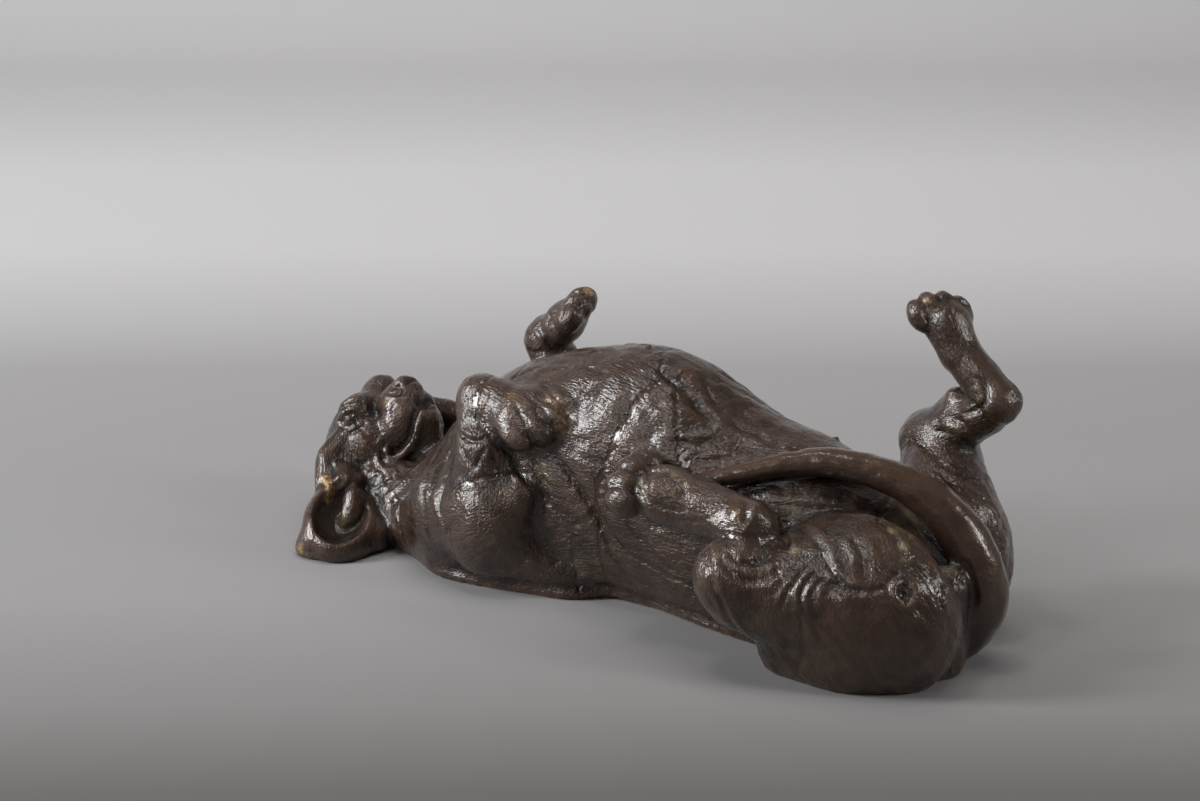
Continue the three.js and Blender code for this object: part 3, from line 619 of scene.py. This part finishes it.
THIGH = [
    (1.6, -1.3, [[96, -79, 67], [106, -85, 61], [112, -83, 60], [117, -77, 61], [120, -69, 65]]),
    (2.6, -2, [[121, -66, 66], [121, -63, 66]]),
    (1.3, 1, [[105, -40, 66], [116, -52, 67], [125, -63, 67], [128, -68, 65]]),
    (1.2, -1.2, [[112, -55, 70], [116, -57, 67], [124, -67, 65]]),
    (2.4, 0.6, [[92, -36, 76], [105, -34, 75], [120, -28, 76], [131, -21, 76], [139, -18, 73]]),
    (1.8, -0.7, [[95, -37, 74], [108, -35, 73], [121, -30, 74], [132, -23, 74]]),
    (1.4, -1.2, [[151, -35, 77], [164, -41, 75], [174, -47, 70], [178, -51, 66]]),
    (3, 0.9, [[109, -27, 82], [117, -23, 82], [127, -18, 79], [134, -15, 77], [142, -13, 72]]),
    (1.5, 1, [[165, -39, 75], [174, -46, 71], [179, -50, 66]]),
    (1.5, 1, [[145, -3, 72], [151, -3, 67], [156, -1, 62], [160, -2, 59]]),
    (1.4, -1.2, [[170, -32, 72], [176, -40, 70]]),
    (2, 0.9, [[122, -47, 71], [135, -56, 72], [146, -64, 68], [152, -69, 62], [161, -70, 58]]),
    (1.4, -0.8, [[122, -53, 70], [135, -61, 70], [144, -67, 65], [151, -71, 60], [159, -72, 55],
                 [166, -70, 54]]),
    (1.5, 0.7, [[150, -59, 72], [157, -63, 67], [160, -66, 62]]),
    (1.4, -0.6, [[152, -56, 73], [159, -60, 69], [164, -64, 63]]),
    (1.5, 0.6, [[156, -53, 74], [164, -57, 70], [168, -61, 64], [169, -65, 59]]),
    (1.8, -1, [[141, -73, 60], [149, -74, 56], [159, -73, 54], [167, -70, 54], [174, -65, 56],
               [176, -58, 61]]),
    (1.3, 0.8, [[91, -81, 64], [97, -87, 62], [100, -90, 58]]),
    (1.4, -0.8, [[98, -87, 62], [105, -90, 57], [111, -90, 51]])]
HAUNCH = [
    (1.3, 0.7, [[129, -85, 42], [131, -83, 50], [133, -79, 56], [135, -73, 61]]),
    (1.2, -0.5, [[132, -85, 40], [133, -83, 48], [136, -79, 54], [138, -73, 60]]),
    (1.3, 0.6, [[139, -82, 41], [137, -81, 49], [138, -77, 56], [141, -72, 60]]),
    (1.2, -0.5, [[142, -82, 41], [140, -81, 48], [141, -77, 55], [143, -73, 60]]),
    (1.3, 0.55, [[145, -81, 40], [142, -80, 48], [143, -77, 54], [146, -73, 58]]),
    (1.2, -0.4, [[147, -80, 41], [145, -79, 48], [145, -77, 53], [148, -74, 57]]),
    (1.3, 0.45, [[150, -80, 42], [148, -78, 49], [148, -76, 54]]),
    (1.8, -0.9, [[101, -88, 61], [108, -89, 56], [114, -87, 53], [122, -83, 55], [126, -77, 59],
                 [127, -71, 63]]),
    (1.6, 0.5, [[100, -90, 58], [107, -91, 53], [115, -88, 50], [124, -84, 51], [129, -79, 57]]),
    (1.5, -1, [[88, -84, 61], [95, -90, 57], [99, -93, 50], [104, -93, 40], [107, -85, 27]]),
    (1.4, 0.7, [[93, -86, 62], [99, -90, 58], [103, -93, 49], [108, -92, 39], [112, -84, 25],
                [114, -72, 12]]),
    (1.3, -0.5, [[179, -66, 46], [184, -65, 39], [190, -61, 32]])]
RUMP = [
    (1.7, 1.6, [[181, -56, 61], [179, -60, 58], [179, -63, 54], [182, -63, 49], [185, -62, 47],
                [187, -59, 49],
                [187, -56, 53], [185, -55, 58], [181, -56, 61]]),
    (2, -1.6, [[182, -58, 58], [182, -60, 54], [184, -61, 51]]),
    (1.1, 0.9, [[181, -59, 57], [183, -59, 54], [186, -59, 51]]),
    (1.5, 0.9, [[178, -9, 54], [185, -16, 54], [190, -22, 51]]),
    (1.8, 0.8, [[168, -70, 52], [169, -70, 52]]),
    (1.6, 0.8, [[173, -67, 53], [174, -67, 53]]),
    (3, -1.4, [[184, -24, 53], [186, -28, 55]]),
    (2, 1.2, [[185, -40, 64], [191, -43, 57], [195, -40, 52]]),
    (2.4, 1, [[193, -52, 50], [194, -52, 46]]),
    (2.4, 1, [[196, -46, 49], [198, -47, 44]]),
    (1.6, 0.8, [[189, -61, 43], [189, -61, 42]]),
    (1.8, -1.6, [[181, -12, 54], [192, -22, 49], [195, -23, 39], [200, -32, 31], [199, -35, 20]]),
    (2, -0.8, [[191, -13, 57], [195, -13, 43], [196, -13, 28]])]
NEAR_HIND_PAW = [
    (4.5, 1.2, [[52, -72, 83], [58, -72, 82]]),
    (3.2, 1.2, [[34, -70, 82], [37, -68, 81]]),
    (3.2, 1.2, [[38, -76, 75], [41, -73, 74]]),
    (1.3, 1.5, [[27, -72, 81], [28, -72, 81]]),
    (1.3, -1.6, [[40, -66, 85], [43, -71, 82], [46, -74, 79], [50, -75, 75]]),
    (1.3, -1.4, [[42, -66, 86], [47, -65, 89], [54, -65, 89], [60, -64, 88]]),
    (1.2, -1.1, [[63, -64, 87], [67, -69, 84], [67, -72, 79]]),
    (3, 1.2, [[96, -71, 79], [99, -73, 78]]),
    (3.6, 1.4, [[106, -67, 81], [108, -69, 79]]),
    (1.8, -1, [[99, -66, 83], [103, -71, 80], [104, -74, 76]]),
    (1.3, -1.4, [[36, -56, 86], [42, -64, 87], [47, -71, 85], [49, -75, 77]]),
    (1.2, -1.3, [[28, -73, 78], [36, -73, 78], [45, -74, 77]]),
    (1.2, -1.2, [[46, -66, 88], [50, -64, 90], [57, -63, 89]]),
    (1.2, -1.2, [[21, -64, 83], [31, -64, 85], [36, -58, 86]]),
    (1.3, -1.2, [[51, -75, 77], [59, -74, 74], [69, -73, 74]]),
    (1.5, 1, [[51, -70, 86], [53, -73, 81], [56, -74, 77]]),
    (1.4, -1, [[54, -69, 86], [59, -71, 83], [60, -73, 78]]),
    (1.4, -0.8, [[54, -74, 71], [67, -73, 69], [82, -74, 72]]),
    (1.3, 0.8, [[86, -74, 72], [91, -75, 71], [95, -76, 69]]),
    (1.2, 1.4, [[24, -71, 81], [27, -73, 78]]),
    (1.2, 1.4, [[33, -77, 75], [34, -77, 75]])]
FAR_HIND_LEG = [
    (1.2, -1.2, [[131, 49, 160], [137, 50, 158], [141, 54, 160]]),
    (1.2, -1.2, [[138, 59, 163], [143, 53, 159], [146, 49, 153]]),
    (1.2, -1.1, [[129, 50, 161], [133, 46, 156], [135, 46, 149]]),
    (1.2, -1, [[138, 59, 163], [146, 67, 158]]),
    (1.6, -1.4, [[162, 44, 129], [169, 43, 125], [170, 40, 118], [163, 42, 112], [153, 43, 107]]),
    (2, 1, [[144, 45, 101], [153, 43, 102], [160, 44, 99]]),
    (1.6, -1.2, [[149, 44, 105], [157, 42, 105], [163, 45, 100]]),
    (1.5, -0.9, [[136, 45, 96], [147, 44, 98], [156, 44, 96], [159, 53, 88]]),
    (1.8, 1, [[178, 32, 69], [182, 33, 63], [185, 32, 56]]),
    (1.4, -0.9, [[150, 29, 83], [159, 27, 80], [167, 25, 76], [175, 26, 70]]),
    (1.4, -0.7, [[131, 44, 91], [142, 39, 89], [151, 36, 86]])]
FAR_FORE_PAW = [
    (1.2, -1.2, [[-78, 18, 134], [-76, 17, 128], [-69, 13, 125]]),
    (1.2, -1.1, [[-69, 20, 140], [-63, 14, 135], [-64, 12, 127]]),
    (1.2, -1.1, [[-67, 27, 142], [-58, 20, 137], [-57, 15, 131]]),
    (1.2, -1, [[-61, 29, 143], [-55, 24, 138], [-56, 22, 131]]),
    (1.6, -1.3, [[-80, 17, 130], [-77, 16, 125], [-77, 16, 117], [-75, 19, 111]]),
    (1.3, 0.7, [[-86, 18, 120], [-81, 16, 116], [-78, 17, 112]])]
WARTS = [[-165.5, -28, 38, 2.2, 1.8], [-158.5, -16.5, 60.5, 1.1, 0.8], [-135, -43, 21, 1.3, 0.9],
         [-158, -36.5, 25.5, 1.1, 0.8], [192, 34, 50, 4, 2]]


def across(strokes, share=0.8):
    """The same strokes on the other side of the body."""
    return [(width, height * share, [[x, -y, z] for x, y, z in knots])
            for width, height, knots in strokes]


def stroke(points, normals, width, height, knots):
    """Raises the points along the line through the knots, or sinks them; a long line fades at both ends."""
    chain = beads(knots, 4)
    reach = 2.2 * width
    low, high = chain.min(axis=0) - reach, chain.max(axis=0) + reach
    near = np.nonzero(((points > low) & (points < high)).all(axis=1))[0]
    if not len(near):
        return
    p = points[near]
    best = np.full(len(near), np.inf)
    along = np.zeros(len(near))
    for i, (a, b) in enumerate(zip(chain, chain[1:])):
        ab = b - a
        t = np.clip((p - a) @ ab / max(ab @ ab, 1e-9), 0, 1)
        d = np.linalg.norm(p - a - t[:, None] * ab, axis=1)
        closer = d < best
        best[closer] = d[closer]
        along[closer] = (i + t[closer]) / (len(chain) - 1)
    at_ends, fade_over = 0.3, 0.25
    fade = 1.0
    if len(knots) > 2:
        fade = np.minimum(np.minimum(along, 1 - along) / fade_over * (1 - at_ends) + at_ends, 1)
    points[near] += normals[near] * (height * fade * np.exp(-(best / width) ** 2))[:, None]


def lattice(cells):
    """A number from -1 to 1 for each whole-numbered cell, the same every time."""
    n = cells.astype(np.uint64)
    h = n[:, 0] * np.uint64(73856093) ^ n[:, 1] * np.uint64(19349663) ^ n[:, 2] * np.uint64(83492791)
    h = (h ^ (h >> np.uint64(13))) * np.uint64(1274126177)
    h = (h ^ (h >> np.uint64(16))) & np.uint64(0xFFFFF)
    return h.astype(float) / 0x7FFFF - 1


def lumps(points, size):
    """Smooth noise with lumps of that size."""
    q = points / size + 500.0
    cell = np.floor(q)
    f = q - cell
    f = f * f * (3 - 2 * f)
    total = 0.0
    for corner in np.argwhere(np.ones((2, 2, 2), bool)):
        weight = np.prod(np.where(corner, f, 1 - f), axis=1)
        total = total + weight * lattice(cell + corner)
    return total


# The tool's strokes follow the fur, along each of these bones

BONES = [
    ([-140, 0, 40], [0, 0, 62]), ([0, 0, 62], [110, 0, 45]), ([-199, 0, 38], in_head(45, 0, -20)),
    ([-190, -30, 42], [-168, -62, 10]), ([-180, 30, 50], [-160, 52, 20]),
    ([-92, -40, 38], [-66, -47, 50]), ([-68, -46, 50], [-78, -38, 95]), ([-66, -39, 96], [-30, -43, 90]),
    ([-92, 42, 42], [-60, 48, 48]), ([-60, 48, 48], [-83, 29, 106]), ([-84, 28, 114], [-62, 28, 134]),
    ([160, -40, 10], [130, -55, 60]), ([110, -72, 35], [101, -64, 62]), ([100, -62, 69], [36, -61, 77]),
    ([150, 34, 30], [136, 60, 84]), ([132, 62, 86], [168, 52, 112]), ([172, 51, 116], [136, 58, 156]),
    ([185, 0, 20], [190, 0, 50]), ([188, 0, 50], [150, -10, 88]), ([150, -10, 88], [70, -44, 84])]


def grain_of(points):
    """Each point's place beside its nearest bone, shortened along it, and the number of that bone."""
    best = np.full(len(points), np.inf)
    bone = np.zeros(len(points), int)
    grain = np.zeros_like(points)
    for i, (a, b) in enumerate(BONES):
        a, b = np.asarray(a, float), np.asarray(b, float)
        ab = b - a
        t = np.clip((points - a) @ ab / (ab @ ab), 0, 1)
        d = np.linalg.norm(points - a - t[:, None] * ab, axis=1)
        closer = d < best
        best[closer] = d[closer]
        bone[closer] = i
        axis = ab / np.linalg.norm(ab)
        along = points[closer] @ axis
        grain[closer] = points[closer] - 0.75 * np.outer(along, axis) + 37.0 * i
    return grain, bone


def foot_lip(points, normals):
    """A thin lip round the foot of the casting, with a groove over it, along the trunk alone."""
    x, _, z = points.T
    lip = 0.9 * np.exp(-((z - 3.0) / 1.6) ** 2) - 0.9 * np.exp(-((z - 7.5) / 2.0) ** 2)
    along_trunk = np.clip((x + 110) / 30, 0, 1) * np.clip((100 - x) / 20, 0, 1)
    return lip * (along_trunk * (np.abs(normals[:, 2]) < 0.8))


def worked(points, triangles):
    """The figure's points after the modelling tools have gone over it."""
    normals = vertex_normals(points, triangles)
    off_ground = np.clip(points[:, 2] / 2.5, 0, 1)
    lump = 0.34 * lumps(points, 9.0) + 0.26 * lumps(points + 71, 4.6)
    tool = 0.32 * lumps(grain_of(points)[0], 2.8) + 0.10 * lumps(points + 29, 1.9)
    tool[tail_form().distance(points) < 1.0] *= 0.4
    points = points + normals * ((lump + tool) * off_ground)[:, None]
    seen_side = [
        EYE_AND_BROW, NOSE_AND_MOUTH, NEAR_EAR, THROAT, NEAR_FORELEG, SHOULDER, BELLY, THIGH, HAUNCH,
        RUMP, NEAR_HIND_PAW, FAR_HIND_LEG, FAR_FORE_PAW]
    hidden_side = [EYE_AND_BROW, NOSE_AND_MOUTH, THROAT[:4], SHOULDER, BELLY[:17], HAUNCH]
    for strokes in seen_side + [across(strokes) for strokes in hidden_side]:
        for width, height, knots in strokes:
            stroke(points, normals, width, height, knots)
    for x, y, z in TEATS:
        stroke(points, normals, 1.5, 1.7, [[x, y, z], [x + 0.5, y, z]])
    for x, y, z, width, height in WARTS:
        stroke(points, normals, width, height, [[x, y, z], [x + 0.5, y, z]])
    points = points + normals * (foot_lip(points, normals) * off_ground)[:, None]
    points[:, 2] = np.maximum(points[:, 2], 0)
    return points


def new_object(name, points, faces):
    mesh = bpy.data.meshes.new(name)
    mesh.from_pydata(points.tolist(), [], faces.tolist())
    mesh.update()
    obj = bpy.data.objects.new(name, mesh)
    bpy.context.scene.collection.objects.link(obj)
    return obj


def thinned(points, quads, budget):
    obj = new_object("rough", points, quads)
    squeeze = obj.modifiers.new("thin", "DECIMATE")
    squeeze.ratio = budget / (2 * len(quads))
    squeeze.use_collapse_triangulate = True
    bpy.context.view_layer.update()
    mesh = obj.evaluated_get(bpy.context.evaluated_depsgraph_get()).to_mesh()
    mesh.calc_loop_triangles()
    out = np.empty(len(mesh.vertices) * 3)
    mesh.vertices.foreach_get("co", out)
    faces = np.empty(len(mesh.loop_triangles) * 3, np.int32)
    mesh.loop_triangles.foreach_get("vertices", faces)
    bpy.data.objects.remove(obj)
    return out.reshape(-1, 3), faces.reshape(-1, 3)


def add_layer(mesh, name, values):
    kind = "FLOAT_VECTOR" if values.ndim == 2 else "FLOAT"
    layer = mesh.attributes.new(name, kind, "POINT")
    layer.data.foreach_set("vector" if values.ndim == 2 else "value", values.astype(np.float32).ravel())


# Finish: a dark brown waxed patina

class Nodes:
    def __init__(self, material):
        material.use_nodes = True
        self.tree = material.node_tree
        self.tree.nodes.clear()

    def add(self, kind, inputs=None, **settings):
        node = self.tree.nodes.new(kind)
        for key, value in settings.items():
            setattr(node, key, value)
        for key, value in (inputs or {}).items():
            if isinstance(value, bpy.types.NodeSocket):
                self.tree.links.new(value, node.inputs[key])
            else:
                node.inputs[key].default_value = value
        return node

    def layer(self, name, output="Fac"):
        return self.add("ShaderNodeAttribute", attribute_name=name).outputs[output]

    def noise(self, vector, scale, detail=3.0, roughness=0.55):
        return self.add("ShaderNodeTexNoise", {
            "Vector": vector, "Scale": scale, "Detail": detail, "Roughness": roughness}).outputs["Fac"]

    def maths(self, operation, a, b=0.0, clamp=False):
        return self.add("ShaderNodeMath", {0: a, 1: b}, operation=operation, use_clamp=clamp).outputs[0]

    def remap(self, value, low, high, to_low=0.0, to_high=1.0):
        return self.add("ShaderNodeMapRange", {
            "Value": value, "From Min": low, "From Max": high, "To Min": to_low, "To Max": to_high},
            interpolation_type="SMOOTHSTEP").outputs[0]

    def mix(self, factor, a, b):
        return self.add("ShaderNodeMix", {0: factor, 6: a, 7: b}, data_type="RGBA").outputs[2]


def bronze():
    material = bpy.data.materials.new("bronze")
    n = Nodes(material)
    here = n.add("ShaderNodeTexCoord").outputs["Object"]
    grain = n.layer("grain", "Vector")
    hollow = n.layer("hollow")
    ridge = n.layer("ridge")
    furred = n.layer("furred")

    broad = n.noise(here, 38, 4)
    blotch = n.noise(here, 150, 3)
    brown = n.mix(n.remap(broad, 0.35, 0.65), (0.019, 0.0098, 0.0064, 1), (0.044, 0.0225, 0.0135, 1))
    brown = n.mix(n.remap(blotch, 0.45, 0.75, 0, 0.5), brown, (0.074, 0.037, 0.021, 1))
    # painted shade: the hollows are darkened almost to black
    brown = n.mix(n.maths("MULTIPLY", hollow, 0.75), brown, (0.010, 0.007, 0.006, 1))
    rubbed = n.remap(n.noise(grain, 420, 3, 0.65), 0.42, 0.66)
    rubbed = n.maths("MULTIPLY", rubbed, n.remap(broad, 0.3, 0.6, 0.1, 0.5))
    rubbed = n.maths("MULTIPLY", rubbed, furred)
    brown = n.mix(rubbed, brown, (0.074, 0.047, 0.034, 1))
    brown = n.mix(n.maths("MULTIPLY", ridge, 0.35), brown, (0.095, 0.055, 0.034, 1))
    pits = n.remap(n.noise(here, 650, 3, 0.6), 0.36, 0.24, 0, 0.7)
    brown = n.mix(pits, brown, (0.008, 0.006, 0.005, 1))
    settled = n.maths("ADD", 0.35, hollow)
    settled = n.maths("MULTIPLY", settled, n.remap(blotch, 0.25, 0.6))
    pale = n.maths("MULTIPLY", n.layer("verdigris"), settled, True)
    brown = n.mix(pale, brown, (0.25, 0.22, 0.12, 1))
    worn = n.maths("MULTIPLY", n.layer("brass"), n.remap(n.noise(here, 420, 2), 0.35, 0.6), True)
    brown = n.mix(worn, brown, (0.52, 0.33, 0.13, 1))
    raw = n.maths("MULTIPLY", n.layer("raw"), n.remap(blotch, 0.42, 0.6), True)
    brown = n.mix(raw, brown, (0.30, 0.085, 0.03, 1))

    rough = n.remap(n.noise(here, 90, 4), 0.3, 0.7, 0.30, 0.50)
    rough = n.maths("ADD", rough, n.maths("MULTIPLY", pale, 0.25))
    strokes = n.noise(grain, 900, 2, 0.6)
    stipple = n.noise(here, 520, 3, 0.6)
    strokes = n.maths("MULTIPLY", n.maths("MULTIPLY", strokes, 0.7), furred)
    stipple = n.maths("MULTIPLY", n.maths("MULTIPLY", stipple, 0.45), n.maths("MAXIMUM", furred, 0.5))
    relief = n.maths("ADD", strokes, stipple)
    bump = n.add("ShaderNodeBump", {"Height": relief, "Strength": 0.9, "Distance": 0.0014}).outputs[0]
    wax = n.add("ShaderNodeBump", {"Height": relief, "Strength": 0.6, "Distance": 0.001}).outputs[0]
    metal = n.maths("ADD", 0.3, n.maths("MULTIPLY", worn, 0.6))
    shader = n.add("ShaderNodeBsdfPrincipled", {
        "Base Color": brown, "Metallic": metal, "Roughness": rough, "Normal": bump,
        "Specular IOR Level": 0.3, "Coat Weight": 0.9, "Coat Roughness": 0.16, "Coat IOR": 1.5,
        "Coat Normal": wax}).outputs[0]
    n.add("ShaderNodeOutputMaterial", {"Surface": shader})
    return material


def paper():
    material = bpy.data.materials.new("paper")
    n = Nodes(material)
    # the tone layer paints shade and light onto the paper
    tone = n.mix(n.layer("tone"), (0.085, 0.078, 0.075, 1), (0.80, 0.785, 0.79, 1))
    shader = n.add("ShaderNodeBsdfPrincipled", {"Base Color": tone, "Roughness": 0.9}).outputs[0]
    n.add("ShaderNodeOutputMaterial", {"Surface": shader})
    return material


# Where the patina is pale or worn through: [x, y, z, radius, strength]

PALE = [
    [150, -6, 68, 12, 0.5], [170, -34, 72, 9, 0.5], [160, -18, 66, 12, 0.5], [182, -20, 53, 8, 0.6],
    [178, -51, 66, 4, 1], [174, -46, 70, 4.5, 1], [165, -40, 75, 4, 0.9], [145, -3, 72, 4.5, 1],
    [151, -3, 67, 5, 1], [158, -2, 60, 5, 1], [128, -68, 65, 4, 0.9], [120, -57, 67, 5, 0.8],
    [108, -36, 73, 6, 0.4], [97, -87, 62, 3.5, 0.8], [42, -68, 83, 3, 1], [47, -74, 79, 3, 1],
    [50, -65, 89, 4, 0.8], [58, -64, 88, 4, 0.7], [65, -67, 85, 3.5, 0.7], [-32, -48, 68, 8, 0.5],
    [-36, -50, 76, 6, 0.5], [-170, -43, 34, 4, 0.6], [-162, -52, 16, 7, 0.7], [100, -92, 50, 5, 0.5],
    [153, 43, 101, 6, 0.6], [-12, -44, 20, 14, 0.3], [-6, -45, 12, 10, 0.3], [150, 46, 155, 6, 0.4],
    [136, 47, 158, 5, 0.4]]
BRASS = [
    [-181, -47, 35, 3.5, 0.9], [-178, -48, 33, 3, 1], [-175, -50, 30, 3, 1], [-175, -52, 26, 3, 1],
    [-173, -78, 5, 3.5, 0.8], [-168, -78, 3, 3, 0.5], [-59, 30, 142, 3.5, 0.9], [-34, -38, 104, 7, 0.15],
    [-28, -40, 99, 6, 0.22], [-24, -44, 91, 6, 0.2], [-54, -46, 103, 5, 0.15], [98, -73, 80, 2.5, 0.35],
    [-166, -13, 72, 3, 0.35], [28, -72, 80, 2.5, 0.3], [131, 50, 162, 3, 0.3]]

# Where the bronze is smoother than elsewhere
SMOOTH = [
    [150, -80, 25, 45, 0.8], [103, -84, 40, 24, 0.5], [101, -66, 72, 17, 0.8], [186, -60, 30, 35, 0.6],
    [-165, -60, 8, 24, 0.8], [-165, -14, 68, 16, 0.6]]


# The casting

def add_finish(mesh, points, triangles):
    """What the bronze needs to know at each point: hollows, wear and the lie of the fur."""
    edges = mesh_edges(triangles)
    normals = vertex_normals(points, triangles)
    bend = np.einsum("ij,ij->i", smoothed(points, edges, 6) - points, normals)
    bend = smoothed(bend, edges, 2) / 0.35
    # the hollow layer darkens the bronze as painted shade, and lets the pale patina settle there
    add_layer(mesh, "hollow", np.clip(bend, 0, 1))
    add_layer(mesh, "ridge", np.clip(-bend, 0, 1))
    add_layer(mesh, "verdigris", spots(points, PALE))
    add_layer(mesh, "brass", spots(points, BRASS))
    x, _, z = points.T
    along_trunk = np.clip((95 - x) / 15, 0, 1) * np.clip((x + 90) / 20, 0, 1)
    add_layer(mesh, "raw", np.clip(1 - z / 3.0, 0, 1) * along_trunk)
    grain, bone = grain_of(points)
    add_layer(mesh, "grain", grain * UNIT)
    # Strokes leave out the tail, the smooth spots, and each line where two bones' strokes would meet
    between = edges[bone[edges[:, 0]] != bone[edges[:, 1]]]
    meeting = np.zeros(len(points))
    meeting[between] = 1
    on_tail = np.clip(1 - tail_form().distance(points) / 4, 0, 1)
    smooth = np.maximum(on_tail, spots(points, SMOOTH))
    add_layer(mesh, "furred", (1 - 0.75 * smooth) * (1 - meeting))


def make_puppy():
    low, high = ROOM[0] - [0, 0, STEP], ROOM[1]
    points, quads = find_surface(puppy_form(), low, high)
    halves = np.concatenate([quads[:, [0, 1, 2]], quads[:, [0, 2, 3]]])
    points, triangles = thinned(worked(points, halves), quads, TRIANGLES)
    middle = (points.min(axis=0) + points.max(axis=0)) / 2
    shift = np.array([middle[0], middle[1], 0])
    obj = new_object("puppy_cast", (points - shift) * UNIT, triangles)
    obj.data.polygons.foreach_set("use_smooth", np.ones(len(triangles), bool))
    add_finish(obj.data, points, triangles)
    obj.data.materials.append(bronze())
    return obj, shift


puppy, shift = make_puppy()
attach(puppy, "root")
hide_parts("puppy")

# Backdrop: a sheet of pale paper, laid flat and rising in a curve so far behind the figure that cameras on
# every side stand in front of it; painted shade makes it a little darker close in front of the figure, and
# painted light makes it paler far in front and behind it

def backdrop():
    half_width, height, bend_from, radius = 6, 3.5, 1.5, 0.4
    # painted shade and light: the paper is darkened just in front of the figure, brightened far in front
    # where the lamps fall off, and paler behind
    painted_shade_and_light_at = [
        (-6, 1), (-2.5, 1), (-1.3, 0.45), (-0.7, 0.2), (-0.5, 0.07), (-0.36, 0.01), (-0.24, 0.03),
        (-0.15, 0.14), (-0.02, 0.23), (0.25, 0.25), (0.38, 0.28), (0.5, 0.42), (0.7, 0.62), (1, 0.74),
        (1.3, 0.72)]
    bend = [(bend_from + radius * math.sin(a), radius - radius * math.cos(a), 0.72)
            for a in np.linspace(0, math.pi / 2, 16)]
    profile = [(y, 0, tone) for y, tone in painted_shade_and_light_at] + bend + [(bend_from + radius, height, 0.72)]
    ahead = np.array([-math.sin(AROUND), math.cos(AROUND), 0])
    aside = np.array([math.cos(AROUND), math.sin(AROUND), 0])
    points = np.array([
        ahead * y + aside * x + [0, 0, z] for y, z, _ in profile for x in (-half_width, half_width)])
    faces = np.array([[2 * i, 2 * i + 1, 2 * i + 3, 2 * i + 2] for i in range(len(profile) - 1)])
    obj = new_object("backdrop", points, faces)
    obj.data.polygons.foreach_set("use_smooth", np.ones(len(faces), bool))
    add_layer(obj.data, "tone", np.repeat([tone for _, _, tone in profile], 2))
    obj.data.materials.append(paper())
    return obj


def softbox(name, direction, distance, width, height, power, colour=(1, 1, 1), aim=(0, 0, 0)):
    light = bpy.data.lights.new(name, "AREA")
    light.shape = "RECTANGLE"
    light.size, light.size_y, light.energy, light.color = width, height, power, colour
    obj = bpy.data.objects.new(name, light)
    at = Vector(direction).normalized() * distance
    obj.location = at
    obj.rotation_euler = (Vector(aim) - at).to_track_quat("-Z", "Y").to_euler()
    bpy.context.scene.collection.objects.link(obj)
    return obj


# The overhead box lights the paper, and the wax doesn't mirror it
overhead = softbox("overhead", (0.05, 0.1, 1), 1.6, 1.5, 0.9, 14, (1, 0.985, 0.97), (0.15, 0.5, 0.3))
overhead.visible_glossy = False
backdrop()
softbox("window", (-0.66, -0.586, 0.47), 2.2, 0.55, 1.2, 50, (0.96, 0.98, 1))
softbox("front", (-0.08, -0.85, 0.5), 2.4, 0.3, 0.5, 5)
softbox("strip", (0.85, 0.22, 0.5), 2.0, 0.4, 0.8, 13)
softbox("lamp", (-0.12, -0.15, 0.97), 2.0, 0.25, 0.25, 4)

world = bpy.data.worlds.new("world")
bpy.context.scene.world = world
world.use_nodes = True
room = world.node_tree.nodes["Background"]
room.inputs["Color"].default_value = (0.97, 0.97, 1, 1)
room.inputs["Strength"].default_value = 0.1

# Camera: as the photograph was taken

def camera():
    lens = bpy.data.cameras.new("camera")
    lens.lens, lens.sensor_width = 78, 36
    obj = bpy.data.objects.new("camera", lens)
    right = Vector((math.cos(AROUND), math.sin(AROUND), 0))
    level = math.cos(ABOVE)
    back = Vector((math.sin(AROUND) * level, -math.cos(AROUND) * level, math.sin(ABOVE)))
    at = (Vector((712, -1061, 490)) - Vector(shift)) * UNIT
    turned = Matrix((right, back.cross(right), back)).transposed().to_4x4()
    obj.matrix_world = Matrix.Translation(at) @ turned
    bpy.context.scene.collection.objects.link(obj)
    bpy.context.scene.camera = obj


camera()
bpy.context.scene.view_settings.view_transform = "Standard"
